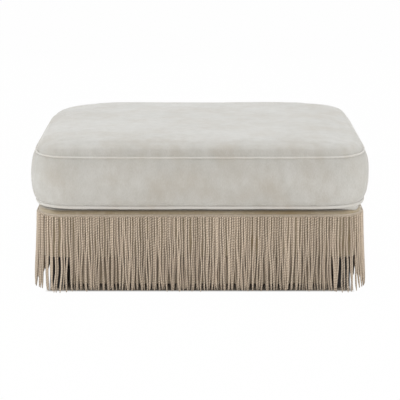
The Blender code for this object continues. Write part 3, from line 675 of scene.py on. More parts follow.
def crown_ring(reach):
    """A ring of the slack crown, so far in from its seam: a full round edge, then a low dome. The
    edge stands fuller along the front than along the back."""
    ring = cushion_ring(SEAM_INSET, 0.0, reach)
    backward = ways_out(ring[:, :2])[:, 1]
    at_front = np.clip(-backward, 0.0, 1.0) ** 2
    at_back = np.clip(backward, 0.0, 1.0) ** 2
    edge_rise = EDGE_RISE + (FRONT_EDGE_RISE - EDGE_RISE) * at_front
    edge_rise += (BACK_EDGE_RISE - EDGE_RISE) * at_back
    dome_rise = CUSHION_TOP - TOP_SEAM - CROWN_SLACK - edge_rise
    edge = min(reach / EDGE_ROUND, 1.0)
    dome = min(reach / DOME_WIDTH, 1.0)
    fullness = 2 + FRONT_FULLNESS * at_front
    edge_share = (1 - (1 - edge) ** fullness) ** (1 / fullness)
    dome_share = 1 - (1 - dome) ** 2
    ring[:, 2] = TOP_SEAM + (edge_rise * edge_share + dome_rise * dome_share)
    return ring


def cushion_rings():
    """All the rings of the slack cushion: dome and edge of the crown, band, and underside."""
    dome_reaches = np.linspace(DOME_WIDTH, EDGE_ROUND, 9, endpoint=False)
    edge_reaches = EDGE_ROUND * (1 - np.cos(np.linspace(math.pi / 2, 0.0, 8, endpoint=False)))
    rings = [crown_ring(reach) for reach in (*dome_reaches, *edge_reaches)]
    for share in np.linspace(1.0, 0.0, 12):
        bulge = (1 - (2 * share - 1) ** 2) ** BULGE_FULLNESS
        inset = SEAM_INSET * (1 - (1 - BULGE_SLACK) * bulge)
        rings.append(cushion_ring(inset, BOTTOM_SEAM + (TOP_SEAM - BOTTOM_SEAM) * share))
    for share in np.linspace(0.0, 1.0, 7)[1:]:
        drop = 1 - (1 - share) ** 2
        height = BOTTOM_SEAM - (BOTTOM_SEAM - CUSHION_BOTTOM) * drop
        rings.append(cushion_ring(SEAM_INSET + BELLY_WIDTH * share, height))
    return rings


cushion = new_piece("cushion_cover", lofted("cushion_cover", cushion_rings(), True, True))
print("rings in the cushion's loft:", len(cushion_rings()))

# %% [markdown]
# The even mesh comes from a voxel remesh, and the cloth simulation then runs for twenty frames
# with air pressure inside and no gravity. The points at the seams are pinned. Only the outward
# part of each point's motion is kept, up to a cap: the foam inside keeps the edge full, where an
# empty bag would be drawn flat, and no soft spot blows up like a balloon.

# %% Blow up the cushion as cloth
VOXEL = 0.01
PIN_REACH = 0.007
PRESSURE = 4.0
SIMULATED_FRAMES = 20
MOTION_CAP = 0.003
POINTS_AT_A_TIME = 4000


def to_seam(points, height):
    """How far each point is from the seam at a height."""
    ring = cushion_ring(SEAM_INSET, height, corner_steps=40, side_steps=(144, 80))[:, :2]
    nearest = np.empty(len(points))
    for start in range(0, len(points), POINTS_AT_A_TIME):
        block = points[start : start + POINTS_AT_A_TIME]
        apart = block[:, None, :2] - ring[None, :, :]
        nearest[start : start + len(block)] = np.sqrt((apart**2).sum(axis=2).min(axis=1))
    return np.hypot(nearest, points[:, 2] - height)


remesh = cushion.modifiers.new("Even mesh", "REMESH")
remesh.mode = "VOXEL"
remesh.voxel_size = VOXEL
cushion = settled(cushion, ivory_velvet)
before = points_of(cushion)
way_out = normals_of(cushion)
print("points in the even mesh:", len(before))


def inflate(piece):
    """The cushion after the simulation, with its seams where they were."""
    near_seam = np.minimum(to_seam(before, TOP_SEAM), to_seam(before, BOTTOM_SEAM)) < PIN_REACH
    seams = piece.vertex_groups.new(name="seams")
    seams.add([int(i) for i in np.flatnonzero(near_seam)], 1.0, "REPLACE")
    cloth = piece.modifiers.new("Cloth", "CLOTH")
    cloth.settings.quality = 6
    cloth.settings.mass = 0.3
    cloth.settings.vertex_group_mass = "seams"
    cloth.settings.use_pressure = True
    cloth.settings.uniform_pressure_force = PRESSURE
    cloth.settings.effector_weights.gravity = 0.0
    for frame_number in range(1, SIMULATED_FRAMES + 1):
        scene.frame_set(frame_number)
    piece = settled(piece, ivory_velvet)
    scene.frame_set(1)
    outwards = ((points_of(piece) - before) * way_out).sum(axis=1)
    print("points moved out by", round(float(outwards.mean()), 4), "up to", round(float(outwards.max()), 4))
    kept = np.clip(outwards, 0.0, MOTION_CAP)
    move_points(piece, before + way_out * kept[:, None])
    return piece


cushion = inflate(cushion)

# %% [markdown]
# The cushion lies on the base, so the base's outline is read from the frame next. How far a point
# is outside it tells whether that point rests on the platform or hangs past the heading.

# %% Measures of the base under the cushion
platform_low, platform_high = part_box("platform_cover")
border_low, border_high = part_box("border_cover")
base_half_x, base_half_y = platform_high.x, platform_high.y
BASE_CORNER = 0.0753
PLATFORM_ROUND = 0.009
HEADING_OUT = 0.0045
print("base measures", round(2 * base_half_x, 4), "by", round(2 * base_half_y, 4))


def beyond_base(points):
    """How far each point is outside the base's outline; below zero it is inside."""
    half = np.array((base_half_x, base_half_y)) - BASE_CORNER
    past = np.abs(points[:, :2]) - half
    outside = np.linalg.norm(np.maximum(past, 0.0), axis=1)
    inside = np.minimum(past.max(axis=1), 0.0)
    return outside + inside - BASE_CORNER


# %% [markdown]
# No two corners of a used cushion are alike. On the stool in the picture, the right front corner
# of the bottom panel has slumped over the edge of the base, and the left back corner of the top is
# a little empty. Each is a push: a direction, strongest at a point, that fades round it.

# %% Pushes for the odd corners
# Each is a centre, a reach, a push, and the heights where it starts and where it is full.
PUSHES = (
    ((0.452, -0.325), 0.042, (0.011, -0.011, -0.016), BOTTOM_SEAM + 0.004, BOTTOM_SEAM - 0.004),
    ((-0.42, 0.28), 0.1, (0.013, -0.004, -0.002), TOP_SEAM, TOP_SEAM + 0.02),
)


def pushed(points, centre, reach, push, none_at, full_at):
    """Points moved by a push that fades away from a centre, and grows between two heights."""
    away = np.linalg.norm(points[:, :2] - np.array(centre), axis=1)
    growth = np.clip((points[:, 2] - none_at) / (full_at - none_at), 0.0, 1.0)
    weight = np.exp(-((away / reach) ** 2)) * growth
    return points + weight[:, None] * np.array(push)


# %% [markdown]
# One subdivision makes the surface fine. Then the seam is drawn in: a valley along each seam, a
# few millimetres wide, in which the piping will lie. Small puckers run from the seams into the
# panels, the underside is pressed flat where it rests on the platform, and the back is drawn flat
# where the zip is sewn in. Painted shade darkens the steep edge of the crown and the upper part
# of the band, and each point keeps how much for the finish.

# %% Draw in the seams
VALLEY_DEPTH = 0.0016
VALLEY_WIDTH = 0.006
FLAT_TOP = 0.009
PUCKER_DEPTH = 0.0012
PUCKER_WIDTH = 0.028
UNDULATION = 0.0014

softer = cushion.modifiers.new("Softer", "SMOOTH")
softer.factor = 0.5
softer.iterations = 3
finer = cushion.modifiers.new("Finer", "SUBSURF")
finer.levels = finer.render_levels = 1
cushion = settled(cushion, ivory_velvet)
surface = points_of(cushion)
reach = np.minimum(to_seam(surface, TOP_SEAM), to_seam(surface, BOTTOM_SEAM))
valley = VALLEY_DEPTH * np.exp(-((reach / VALLEY_WIDTH) ** 2))
upright = surface * np.array((1.0, 1.0, 0.25))
pucker = PUCKER_DEPTH * wander(upright, 34.0, 1) * np.exp(-((reach / PUCKER_WIDTH) ** 2))
swell = UNDULATION * wander(surface, 7.0, 2) + 0.4 * UNDULATION * wander(surface, 22.0, 3)
surface = surface + normals_of(cushion) * (pucker + swell - valley)[:, None]
too_high = np.maximum(surface[:, 2] - (CUSHION_TOP - FLAT_TOP), 0.0)
surface[:, 2] -= too_high - FLAT_TOP * np.tanh(too_high / FLAT_TOP)
for push in PUSHES:
    surface = pushed(surface, *push)
print("top of the cushion at", round(float(surface[:, 2].max()), 4))

# %% Lay the underside on the base, and the back flat behind the zip
REST_GAP = 0.0003
DROP_PAST_HEADING = 2.5
ZIP_BED_HALF_HEIGHT = 0.026
ZIP_BED_FADE = 0.01
ZIP_BED_PAST_END = 0.03
ZIP_BED_END_FADE = 0.02
zip_low, zip_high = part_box("zip_tape")
ZIP_MIDDLE = (zip_low.z + zip_high.z) / 2
ZIP_BED = zip_low.y + 0.0008

out_of_base = beyond_base(surface)
inside_edge = np.clip(out_of_base + PLATFORM_ROUND, 0.0, PLATFORM_ROUND)
fall = PLATFORM_ROUND - np.sqrt(PLATFORM_ROUND**2 - inside_edge**2)
past_heading = np.maximum(out_of_base - HEADING_OUT, 0.0)
rest_height = CUSHION_BOTTOM + REST_GAP - fall - DROP_PAST_HEADING * past_heading
surface[:, 2] = np.maximum(surface[:, 2], rest_height)
off_zip = np.abs(surface[:, 2] - ZIP_MIDDLE)
by_zip = np.clip((ZIP_BED_HALF_HEIGHT - off_zip) / ZIP_BED_FADE, 0.0, 1.0)
bed_end = zip_high.x + ZIP_BED_PAST_END
by_zip *= np.clip((bed_end - np.abs(surface[:, 0])) / ZIP_BED_END_FADE, 0.0, 1.0)
surface[:, 1] -= by_zip * np.maximum(surface[:, 1] - ZIP_BED, 0.0)
move_points(cushion, surface)
print("points by the zip:", int((by_zip > 0).sum()))

# %% Paint shade on the crown's edge and the band
LEVEL_NORMAL = 0.86
STEEP_RANGE = 0.4
EDGE_SHADE = 0.45
EDGE_SHADE_FADE = 0.004
BAND_SHADE = 0.55
BAND_SHADE_HEIGHT = 0.07

# Painted shade on the steep edge of the crown, and on the band just below the top seam, fading downwards.
steep = np.clip((LEVEL_NORMAL - normals_of(cushion)[:, 2]) / STEEP_RANGE, 0.0, 1.0)
above = np.clip((surface[:, 2] - TOP_SEAM) / EDGE_SHADE_FADE, 0.0, 1.0)
on_band = np.clip(1 - (TOP_SEAM - surface[:, 2]) / BAND_SHADE_HEIGHT, 0.0, 1.0)
nap = np.where(surface[:, 2] > TOP_SEAM, EDGE_SHADE * steep * above, BAND_SHADE * on_band)
keep_value(cushion, "nap", nap)
hand_over(
    cushion,
    "cushion",
    "velvet",
    "cushion_core",
    "cushion_top_panel",
    "cushion_boxing",
    "cushion_bottom_panel",
)

# %% [markdown]
# ## Piping
#
# Piping is a thin cord in a sleeve of the same velvet, sewn into the seam, and its velvet is
# painted lighter, as a highlight. It follows the seam's outline, never quite straight: a slow
# wander of less than a millimetre shows that hands sewed it. It is lofted as a tube from rings
# that run round the cushion, one for each side of the tube.

# %% Piping along both seams
PIPING_SIDES = 10
PIPING_WANDER = 0.0007
UNEVEN_SHARE = 0.06


def piping_tube(name, height, radius, proud, seed):
    """A closed tube along a seam, so far out from it."""
    path = cushion_ring(SEAM_INSET - proud, height, corner_steps=36, side_steps=(72, 40))[:, :2]
    out = ways_out(path)
    drift = PIPING_WANDER * wander(at_height(path, 0.0), 9.0, seed)
    thickness = radius * (1 + UNEVEN_SHARE * wander(at_height(path, 0.0), 60.0, seed + 1))
    rings = []
    for turn in np.linspace(0, 2 * math.pi, PIPING_SIDES, endpoint=False):
        sideways = path + out * (thickness * math.cos(turn))[:, None]
        rings.append(at_height(sideways, height + drift + thickness * math.sin(turn)))
    rings.append(rings[0])
    return new_piece(name, facing_out(lofted(name, rings)), ivory_piping)


# Each has its height, its radius, how far it stands proud of the seam, and a seed.
PIPINGS = {
    "top_piping": (TOP_SEAM, 0.003, 0.0018, 11),
    "bottom_piping": (BOTTOM_SEAM + 0.0013, 0.0048, 0.0025, 21),
}
for name, shape_of_it in PIPINGS.items():
    hand_over(piping_tube(name + "_cord", *shape_of_it), "cushion", "piping", name)

# %% [markdown]
# ## The seat deck
#
# The cushion rests on a sprung web: six jute straps, tacked to the rails and woven through each
# other, and a pad of wadding over them. A strap is a thin, flat loft that follows the heights of
# its rigid stand-in, read from the frame and softened, because jute bends in a curve. The pad is
# a low loft with full, soft edges, a little lumpy, as wadding is.


# %% Straps of the seat deck
STRAP_STEPS = 130
STRAP_PROFILE = (
    (-1.0, -0.3), (-0.96, -0.9), (-0.5, -1.0), (0.0, -1.0), (0.5, -1.0), (0.96, -0.9), (1.0, -0.3),
    (1.0, 0.3), (0.96, 0.9), (0.5, 1.0), (0.0, 1.0), (-0.5, 1.0), (-0.96, 0.9), (-1.0, 0.3),
)
STRAP_SOFTENING = (0.15, 0.22, 0.26, 0.22, 0.15)
STATION_REACH = 0.0002


def long_way(low, high):
    """0 where a box is longer along x, and 1 where it is longer along y."""
    return 0 if high.x - low.x > high.y - low.y else 1


def x_and_y(run, along, across):
    """Turns places along and across a piece that runs along x or y into x and y."""
    return (along, across) if run == 0 else (across, along)


def strap(name, node_name):
    """A strap that follows the heights of its stand-in in the frame."""
    stand_in = points_of(nodes[node_name])
    low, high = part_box(node_name)
    run = long_way(low, high)
    stations = np.unique(np.round(stand_in[:, run], 4))
    at_station = [np.abs(stand_in[:, run] - station) < STATION_REACH for station in stations]
    heights = [stand_in[here, 2].mean() for here in at_station]
    half_thickness = min(np.ptp(stand_in[here, 2]) for here in at_station) / 2
    along = np.linspace(stations[0], stations[-1], STRAP_STEPS)
    padded = np.pad(np.interp(along, stations, heights), 2, mode="edge")
    softened = np.convolve(padded, STRAP_SOFTENING, mode="valid")
    centre = (low[1 - run] + high[1 - run]) / 2
    half_width = (high[1 - run] - low[1 - run]) / 2
    rings = []
    for place, height in zip(along, softened):
        ring = []
        for across, up in STRAP_PROFILE:
            columns = x_and_y(run, place, centre + half_width * across)
            ring.append((*columns, height + up * half_thickness))
        rings.append(np.array(ring))
    piece = new_piece(name, facing_out(lofted(name, rings, True, True)), striped_jute)
    keep_value(piece, "across", (points_of(piece)[:, 1 - run] - centre) / half_width)
    return piece


web_nodes = sorted(name for name in nodes if "_web_" in name)
for node_name in web_nodes:
    hand_over(strap(node_name.replace("web", "strap"), node_name), "base", "webbing", node_name)

# %% Pad over the straps
PAD_EDGE = 0.008
PAD_CORNER = 0.071
LEAST_CORNER = 0.01
LUMP = 0.0005
SMALL_LUMP = 0.0003
PAD_INSETS = (0.3, 0.2, 0.1, 0.05, 0.025)
pad_low, pad_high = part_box("deck_pad")
pad_middle = (pad_low.z + pad_high.z) / 2
half_pad = (pad_high.z - pad_low.z) / 2


def pad_ring(inset, height):
    corner = max(PAD_CORNER - inset, LEAST_CORNER)
    return at_height(outline(pad_high.x - inset, pad_high.y - inset, corner), height)


rings = [pad_ring(inset, pad_high.z) for inset in PAD_INSETS]
for turn in np.radians(np.linspace(90.0, -90.0, 13)):
    rings.append(pad_ring(PAD_EDGE * (1 - math.cos(turn)), pad_middle + half_pad * math.sin(turn)))
pad = new_piece("deck_wadding_pad", facing_out(lofted("deck_wadding_pad", rings, True, True)), wadding)
pad_points = points_of(pad)
lumps = LUMP * np.abs(wander(pad_points, 14.0, 81))
lumps += SMALL_LUMP * np.abs(wander(pad_points, 60.0, 82))
move_points(pad, pad_points - normals_of(pad) * lumps[:, None])
hand_over(pad, "base", "deck_pad", "deck_pad")

# %% [markdown]
# ## The base's cloth
#
# The platform under the cushion is covered in taupe velvet over a pad, with a soft rounded edge
# that shows as a shaded band above the fringe. A second band of the same cloth goes round the
# rails, behind the strands. Both are stretched sheets, with the faint pulls of stapled cloth.


# %% Rings and pulls of the base's cloth
SHEET_WALL = 0.0014
CORNER_INSET = 0.07


def base_ring(inset, height):
    corner = BASE_CORNER - min(inset, CORNER_INSET)
    return at_height(outline(base_half_x - inset, base_half_y - inset, corner), height)


def wall(piece, thickness, outwards=False):
    """Gives a sheet its thickness, on its inner side unless asked."""
    solid = piece.modifiers.new("Cloth", "SOLIDIFY")
    solid.thickness = thickness
    solid.offset = 1.0 if outwards else -1.0


def pulled_tight(points, depth, per_metre, drawn_out, seed):
    """Points of a band of cloth, drawn in towards the middle by faint upright pulls."""
    pull = depth * np.abs(wander(points * np.array((1.0, 1.0, drawn_out)), per_metre, seed))
    centre_way = points[:, :2] / np.linalg.norm(points[:, :2], axis=1)[:, None]
    drawn = points.copy()
    drawn[:, :2] -= centre_way * pull[:, None]
    return drawn


print("sheets of the base are", SHEET_WALL, "m thick")

# %% Platform cover
CAP_INSET = 0.3
EDGE_DROP = 0.001
SLACK = 0.0004
CREVICE_LOW = 0.237
CREVICE_END = 0.445
CREVICE_FADE = 0.03
CREVICE_SHADE = 2.2
LEAST_CREVICE_SHADE = 0.1
rings = []
for inset in np.linspace(CAP_INSET, PLATFORM_ROUND, 12, endpoint=False):
    rings.append(base_ring(inset, platform_high.z))
for turn in np.radians(np.linspace(90.0, 0.0, 8)):
    height = platform_high.z - PLATFORM_ROUND * (1 - math.sin(turn))
    rings.append(base_ring(PLATFORM_ROUND * (1 - math.cos(turn)), height))
for height in np.linspace(platform_high.z - PLATFORM_ROUND, platform_low.z, 5)[1:]:
    rings.append(base_ring(0.0, height))
cloth = lofted("platform_upholstery", rings, cap_first=True)
platform = new_piece("platform_upholstery", cloth, taupe_velvet)
cloth_points = points_of(platform)
on_side = cloth_points[:, 2] < platform_high.z - EDGE_DROP
drawn = pulled_tight(cloth_points, depth=0.0012, per_metre=42.0, drawn_out=0.2, seed=31)
cloth_points = np.where(on_side[:, None], drawn, cloth_points)
cloth_points[:, 2] -= SLACK * np.abs(wander(cloth_points, 9.0, 32))
move_points(platform, cloth_points)
wall(platform, SHEET_WALL)
platform = settled(platform, taupe_velvet)
cloth_points = points_of(platform)
# Painted shadow of the cushion: the cloth darkens towards the top of its edge, under the cushion's
# overhang, and much less at the left and right ends.
up_crevice = (cloth_points[:, 2] - CREVICE_LOW) / (platform_high.z - CREVICE_LOW)
before_end = (CREVICE_END - np.abs(cloth_points[:, 0])) / CREVICE_FADE
nap = CREVICE_SHADE * np.clip(up_crevice, 0, 1) * np.clip(before_end, LEAST_CREVICE_SHADE, 1)
keep_value(platform, "nap", nap)
hand_over(platform, "base", "base_cloth", "platform_cover")

# %% Border cover
rings = [base_ring(0.0, height) for height in np.linspace(border_high.z, border_low.z, 14)]
border = new_piece("border_upholstery", lofted("border_upholstery", rings), taupe_velvet)
drawn = pulled_tight(points_of(border), depth=0.0014, per_metre=30.0, drawn_out=0.3, seed=33)
move_points(border, drawn)
wall(border, SHEET_WALL)
border = settled(border, taupe_velvet)
hand_over(border, "base", "base_cloth", "border_cover")

# %% [markdown]
# ## Cords that hang from a path
#
# The fringe is the main thing to see, and its strands repeat by the hundred, so Geometry Nodes
# grow them. The tree takes a path with a way out at each of its points. It puts a straight line
# of a few points at even steps along the path, realizes these lines, and then bends each one: a
# lean that wanders slowly along the path makes strands bunch and part, a small random lean sets
# neighbours apart, and a wave keeps them from looking like rods. A profile swept along each
# line makes it a cord, and its points keep where they are round and along the strand.


# %% A Geometry Nodes tree with named inputs
def new_tree(name, **inputs):
    """An empty tree with a geometry going in and out, and named inputs of each kind."""
    tree = bpy.data.node_groups.new(name, "GeometryNodeTree")
    tree.interface.new_socket("Geometry", in_out="INPUT", socket_type="NodeSocketGeometry")
    tree.interface.new_socket("Geometry", in_out="OUTPUT", socket_type="NodeSocketGeometry")
    for kind, titles in inputs.items():
        for title in titles:
            tree.interface.new_socket(title, in_out="INPUT", socket_type="NodeSocket" + kind)
    return tree, Wire(tree).node("NodeGroupInput")


def even_steps(start):
    """Points at even steps along the path that comes into a tree."""
    path = start.node("GeometryNodeMeshToCurve", inputs={0: start.of("Geometry")})
    inputs = {"Curve": path, "Length": start.of("Spacing")}
    return start.node("GeometryNodeResampleCurve", {"mode": "LENGTH"}, inputs)


def finish_tree(geometry, finish):
    """Ends a tree: instances become real, and the finish is set."""
    real = geometry.node("GeometryNodeRealizeInstances", inputs={"Geometry": geometry})
    inputs = {"Geometry": real, "Material": finish}
    done = geometry.node("GeometryNodeSetMaterial", inputs=inputs)
    end = geometry.tree.nodes.new("NodeGroupOutput")
    geometry.tree.links.new(done.socket, end.inputs[0])


def path_mesh(name, points, out, edges=None):
    """A path for a tree: points with their way out, joined in a ring or by the given edges."""
    count = len(points)
    if edges is None:
        edges = [(i, (i + 1) % count) for i in range(count)]
    mesh = bpy.data.meshes.new(name)
    mesh.from_pydata(points.tolist(), edges, [])
    facing = mesh.attributes.new("outward", "FLOAT_VECTOR", "POINT")
    out = np.broadcast_to(out, (count, 3))
    facing.data.foreach_set("vector", np.ascontiguousarray(out, dtype=np.float32).ravel())
    return mesh


def grown(name, path, tree, values):
    """The plain mesh that a tree makes along a path, as a piece at the origin."""
    carrier = new_piece(name, path)
    modifier = carrier.modifiers.new("Nodes", "NODES")
    modifier.node_group = tree
    for item in tree.interface.items_tree:
        if item.in_out == "INPUT" and item.name in values:
            modifier[item.identifier] = values[item.name]
    return settled(carrier)


def named(wire, title, kind="FLOAT"):
    """Reads a named attribute."""
    return wire.node("GeometryNodeInputNamedAttribute", {"data_type": kind}, {"Name": title})


def stored(geometry, title, value, kind="FLOAT"):
    """Keeps a value at each point of the geometry under a name."""
    inputs = {"Geometry": geometry, "Name": title, "Value": value}
    return geometry.node("GeometryNodeStoreNamedAttribute", {"data_type": kind}, inputs)


def chance(wire, low, high, seed):
    """A random value for each point."""
    inputs = {2: low, 3: high, "Seed": seed}
    return wire.node("FunctionNodeRandomValue", {"data_type": "FLOAT"}, inputs, output=1)


def scaled(vector, factor):
    """A vector times a number."""
    inputs = {0: vector, "Scale": factor}
    return vector.node("ShaderNodeVectorMath", {"operation": "SCALE"}, inputs)


print("Geometry Nodes helpers ready")

# %% Lines that hang from a path
BUNCHES_PER_METRE = 34.0
SHIFT_SHARE = 0.22
HELD_SHARE = 0.35
BUNCH_POWER = 1.6
LEAN_POWER = 2.6
WAVE_TURN = 9.0
WAVE_TURN_SPREAD = 4.0
SWING_TURN = 7.0
CHANCES = {
    "lean": (-1.0, 1.0),
    "lift": (-1.0, 1.0),
    "phase": (0.0, 2 * math.pi),
    "tone": (0.0, 1.0),
    "stout": (0.85, 1.12),
    "set": (-1.0, 1.0),
    "shift": (-1.0, 1.0),
}


def hanging_lines(start, position):
    """A straight line of a few points from each root, which keeps the root's chances."""
    roots = even_steps(start)
    inputs = {"Vector": position, "Scale": BUNCHES_PER_METRE, "Detail": 1.0}
    slow = start.node("ShaderNodeTexNoise", inputs=inputs)
    roots = stored(roots, "bunch", (slow - 0.5) * 2.0)
    for offset, (title, ends) in enumerate(CHANCES.items()):
        roots = stored(roots, title, chance(start, *ends, start.of("Seed") + offset))
    line = start.node("GeometryNodeCurvePrimitiveLine", inputs={"End": (0.0, 0.0, -1.0)})
    inputs = {"Curve": line, "Count": start.of("Rings")}
    line = start.node("GeometryNodeResampleCurve", {"mode": "COUNT"}, inputs)
    line = stored(line, "share", start.node("GeometryNodeSplineParameter"))
    inputs = {"Points": roots, "Instance": line}
    strands = start.node("GeometryNodeInstanceOnPoints", inputs=inputs)
    return start.node("GeometryNodeRealizeInstances", inputs={"Geometry": strands})


def bent(strands, start, share, outward, length):
    """The lines at their length, which lean, wave and swing out more and more downwards."""
    up = start.node("ShaderNodeCombineXYZ", inputs={2: 1.0})
    along = start.vector_maths("CROSS_PRODUCT", up, outward)
    phase = named(start, "phase")
    tempo = WAVE_TURN + WAVE_TURN_SPREAD * named(start, "lift")
    free = stretched(share, 0.0, HELD_SHARE)
    ripple = start.maths("SINE", share * tempo + phase) * start.of("Wave")
    sideways = (
        named(start, "shift") * start.of("Spacing") * SHIFT_SHARE
        + named(start, "bunch") * start.of("Bunching") * share**BUNCH_POWER
        + named(start, "lean") * start.of("Lean") * share**LEAN_POWER
        + ripple * free
    )
    swing = start.maths("COSINE", share * SWING_TURN + phase) * start.of("Wave")
    set_back = named(start, "set") * start.of("Depth")
    outwards = start.of("Flare") * share + swing * share + set_back * share
    fall = start.node("ShaderNodeCombineXYZ", inputs={2: share * (1 - length)})
    offset = start.vector_maths("ADD", scaled(along, sideways), scaled(outward, outwards))
    inputs = {"Geometry": strands, "Offset": start.vector_maths("ADD", offset, fall)}
    return start.node("GeometryNodeSetPosition", inputs=inputs)


# %% Hanging cords tree
TIP_SHARE = 0.93
TIP_TAPER_SHARE = 0.55


def hanging_cords_tree():
    """Cords from a path. Their points keep where they are round and along them, and a tone."""
    sizes = ("Spacing", "Length", "Length Spread", "Radius", "Flare", "Bunching", "Lean", "Wave")
    sizes += ("Depth", "Openness")
    counts = ("Rings", "Sides", "Seed")
    tree, start = new_tree("hanging_cords", Float=sizes, Int=counts, Material=("Finish",))
    position = start.node("GeometryNodeInputPosition")
    share = named(start, "share")
    outward = named(start, "outward", "FLOAT_VECTOR")
    length = start.of("Length") + start.of("Length Spread") * named(start, "lift")
    strands = bent(hanging_lines(start, position), start, share, outward, length)

    inputs = {"Resolution": start.of("Sides")}
    profile = start.node("GeometryNodeCurvePrimitiveCircle", inputs=inputs)
    profile = stored(profile, "round", position, "FLOAT_VECTOR")
    taper = 1 - stretched(share, TIP_SHARE, 1.0) * TIP_TAPER_SHARE
    thickness = start.of("Radius") * taper * named(start, "stout")
    inputs = {"Curve": strands, "Profile Curve": profile, "Scale": thickness, "Fill Caps": True}
    cords = start.node("GeometryNodeCurveToMesh", inputs=inputs)
    cosine, sine, _ = split(named(start, "round", "FLOAT_VECTOR"))
    inputs = {0: cosine, 1: sine, 2: share * length + named(start, "phase")}
    wound = start.node("ShaderNodeCombineXYZ", inputs=inputs)
    cords = stored(cords, "wound", wound, "FLOAT_VECTOR")
    # How far each side of a cord faces out, scaled by the row's flank light, for painted shade on the
    # flanks.
    normal = start.node("GeometryNodeInputNormal")
    facing = start.vector_maths("DOT_PRODUCT", normal, outward, "Value")
    cords = stored(cords, "facing", facing * start.of("Openness"))
    for title in ("bunch", *CHANCES, "share", "round", "outward"):
        if title != "tone":
            inputs = {"Geometry": cords, "Name": title}
            cords = start.node("GeometryNodeRemoveAttribute", inputs=inputs)
    finish_tree(cords, start.of("Finish"))
    return tree


hanging_cords = hanging_cords_tree()
print("nodes in the cord tree:", len(hanging_cords.nodes))

# %% [markdown]
# ## The fringe
#
# A bullion fringe is dense: a strand every six or seven millimetres, and more behind to fill.
# Three rows are grown. The front row leaves the heading's lower edge along the four sides. Round
# the corners its place is taken by a sparser row that flares, and the black feet show between its
# strands. The back row hangs in the gaps along the sides, a little thinner and more even.

# %% Paths for the rows of the fringe
fringe_low, fringe_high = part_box("fringe_front")
HEADING_HEIGHT = 0.009
ROOT_OVERLAP = 0.003
TIP_GAP = 0.003
CORNER_REACH = 0.105
heading_bottom = fringe_high.z - HEADING_HEIGHT
root_height = heading_bottom + ROOT_OVERLAP
strand_length = root_height - fringe_low.z - TIP_GAP


def side_paths(name, out, height, short_of_corner):
    """Four straight paths along the sides of the base, which stop short of its corners."""
    base_half = np.array((base_half_x, base_half_y))
    points = []
    ways = []
    for side_x, side_y in ((0, -1), (1, 0), (0, 1), (-1, 0)):
        middle = np.array((side_x * (base_half_x + out), side_y * (base_half_y + out)))
        reach = np.array((side_y, side_x)) * (base_half - short_of_corner)
        points += [middle - reach, middle + reach]
        ways += [(side_x, side_y, 0.0)] * 2
    edges = [(i, i + 1) for i in range(0, len(points), 2)]
    return path_mesh(name, at_height(np.array(points), height), np.array(ways), edges)


def corner_paths(name, out, height, short_of_corner):
    """Four paths round the corners of the base, between the ends of the side paths."""
    half = np.array((base_half_x, base_half_y)) + out
    turns = np.linspace(0.0, math.pi / 2, 21)
    ways = np.array([(1.0, 0.0), *((math.cos(t), math.sin(t)) for t in turns), (0.0, 1.0)])
    bend = half - (BASE_CORNER + out) * (1 - ways)
    bend[0] = (half[0], base_half_y - short_of_corner)
    bend[-1] = (base_half_x - short_of_corner, half[1])
    signs = np.array(((1, 1), (-1, 1), (-1, -1), (1, -1)))
    points = np.concatenate([bend * sign for sign in signs])
    outwards = np.concatenate([ways * sign for sign in signs])
    edges = [(i, i + 1) for i in range(len(points) - 1) if (i + 1) % len(bend)]
    return path_mesh(name, at_height(points, height), at_height(outwards, 0.0), edges)


print("strands are", round(strand_length, 4), "m long")

# %% Grow the rows of the fringe
row_looks = {
    "Length": strand_length,
    "Length Spread": 0.004,
    "Rings": 13,
    "Sides": 5,
    "Wave": 0.0014,
    "Finish": champagne_cord,
}
front_look = {
    **row_looks,
    "Spacing": 0.0069,
    "Radius": 0.0027,
    "Flare": 0.008,
    "Bunching": 0.008,
    "Lean": 0.007,
    "Depth": 0.0015,
    "Openness": 1.0,
    "Seed": 3,
}
corner_look = {
    **front_look,
    "Length": strand_length + 0.003,
    "Spacing": 0.0084,
    "Flare": 0.012,
    "Bunching": 0.0045,
    "Lean": 0.009,
    "Seed": 14,
}
back_look = {
    **row_looks,
    "Spacing": 0.0105,
    "Radius": 0.0022,
    "Flare": 0.002,
    "Bunching": 0.007,
    "Lean": 0.004,
    "Depth": 0.001,
    # The back row's flanks get more painted shade.
    "Openness": 0.8,
    "Seed": 40,
}
FRONT_OUT = 0.0032
BACK_OUT = 0.001
CORNER_OVERLAP = 0.007
BACK_OVERLAP = 0.01
front_path = side_paths("front_row_path", FRONT_OUT, root_height, CORNER_REACH)
corner_path = corner_paths("corner_row_path", FRONT_OUT, root_height, CORNER_REACH - CORNER_OVERLAP)
back_path = side_paths("back_row_path", BACK_OUT, root_height, CORNER_REACH - BACK_OVERLAP)
front_row = grown("fringe_front_row", front_path, hanging_cords, front_look)
corner_row = grown("fringe_corner_row", corner_path, hanging_cords, corner_look)
back_row = grown("fringe_back_row", back_path, hanging_cords, back_look)
hand_over(front_row, "base", "fringe", *[name for name in nodes if name.startswith("fringe_")])
hand_over(corner_row, "base", "fringe")
hand_over(back_row, "base", "fringe")

# %% [markdown]
# ## Beads along a path
#
# The woven heading, stitches, zip teeth and staples are all the same idea: a small, smooth bead,
# longer than it is wide, set at even steps along a path and turned to it. One tree makes them
# all. A tilt turns each bead in the plane of the surface, so two rows with opposite tilt make
# the braid of the heading.


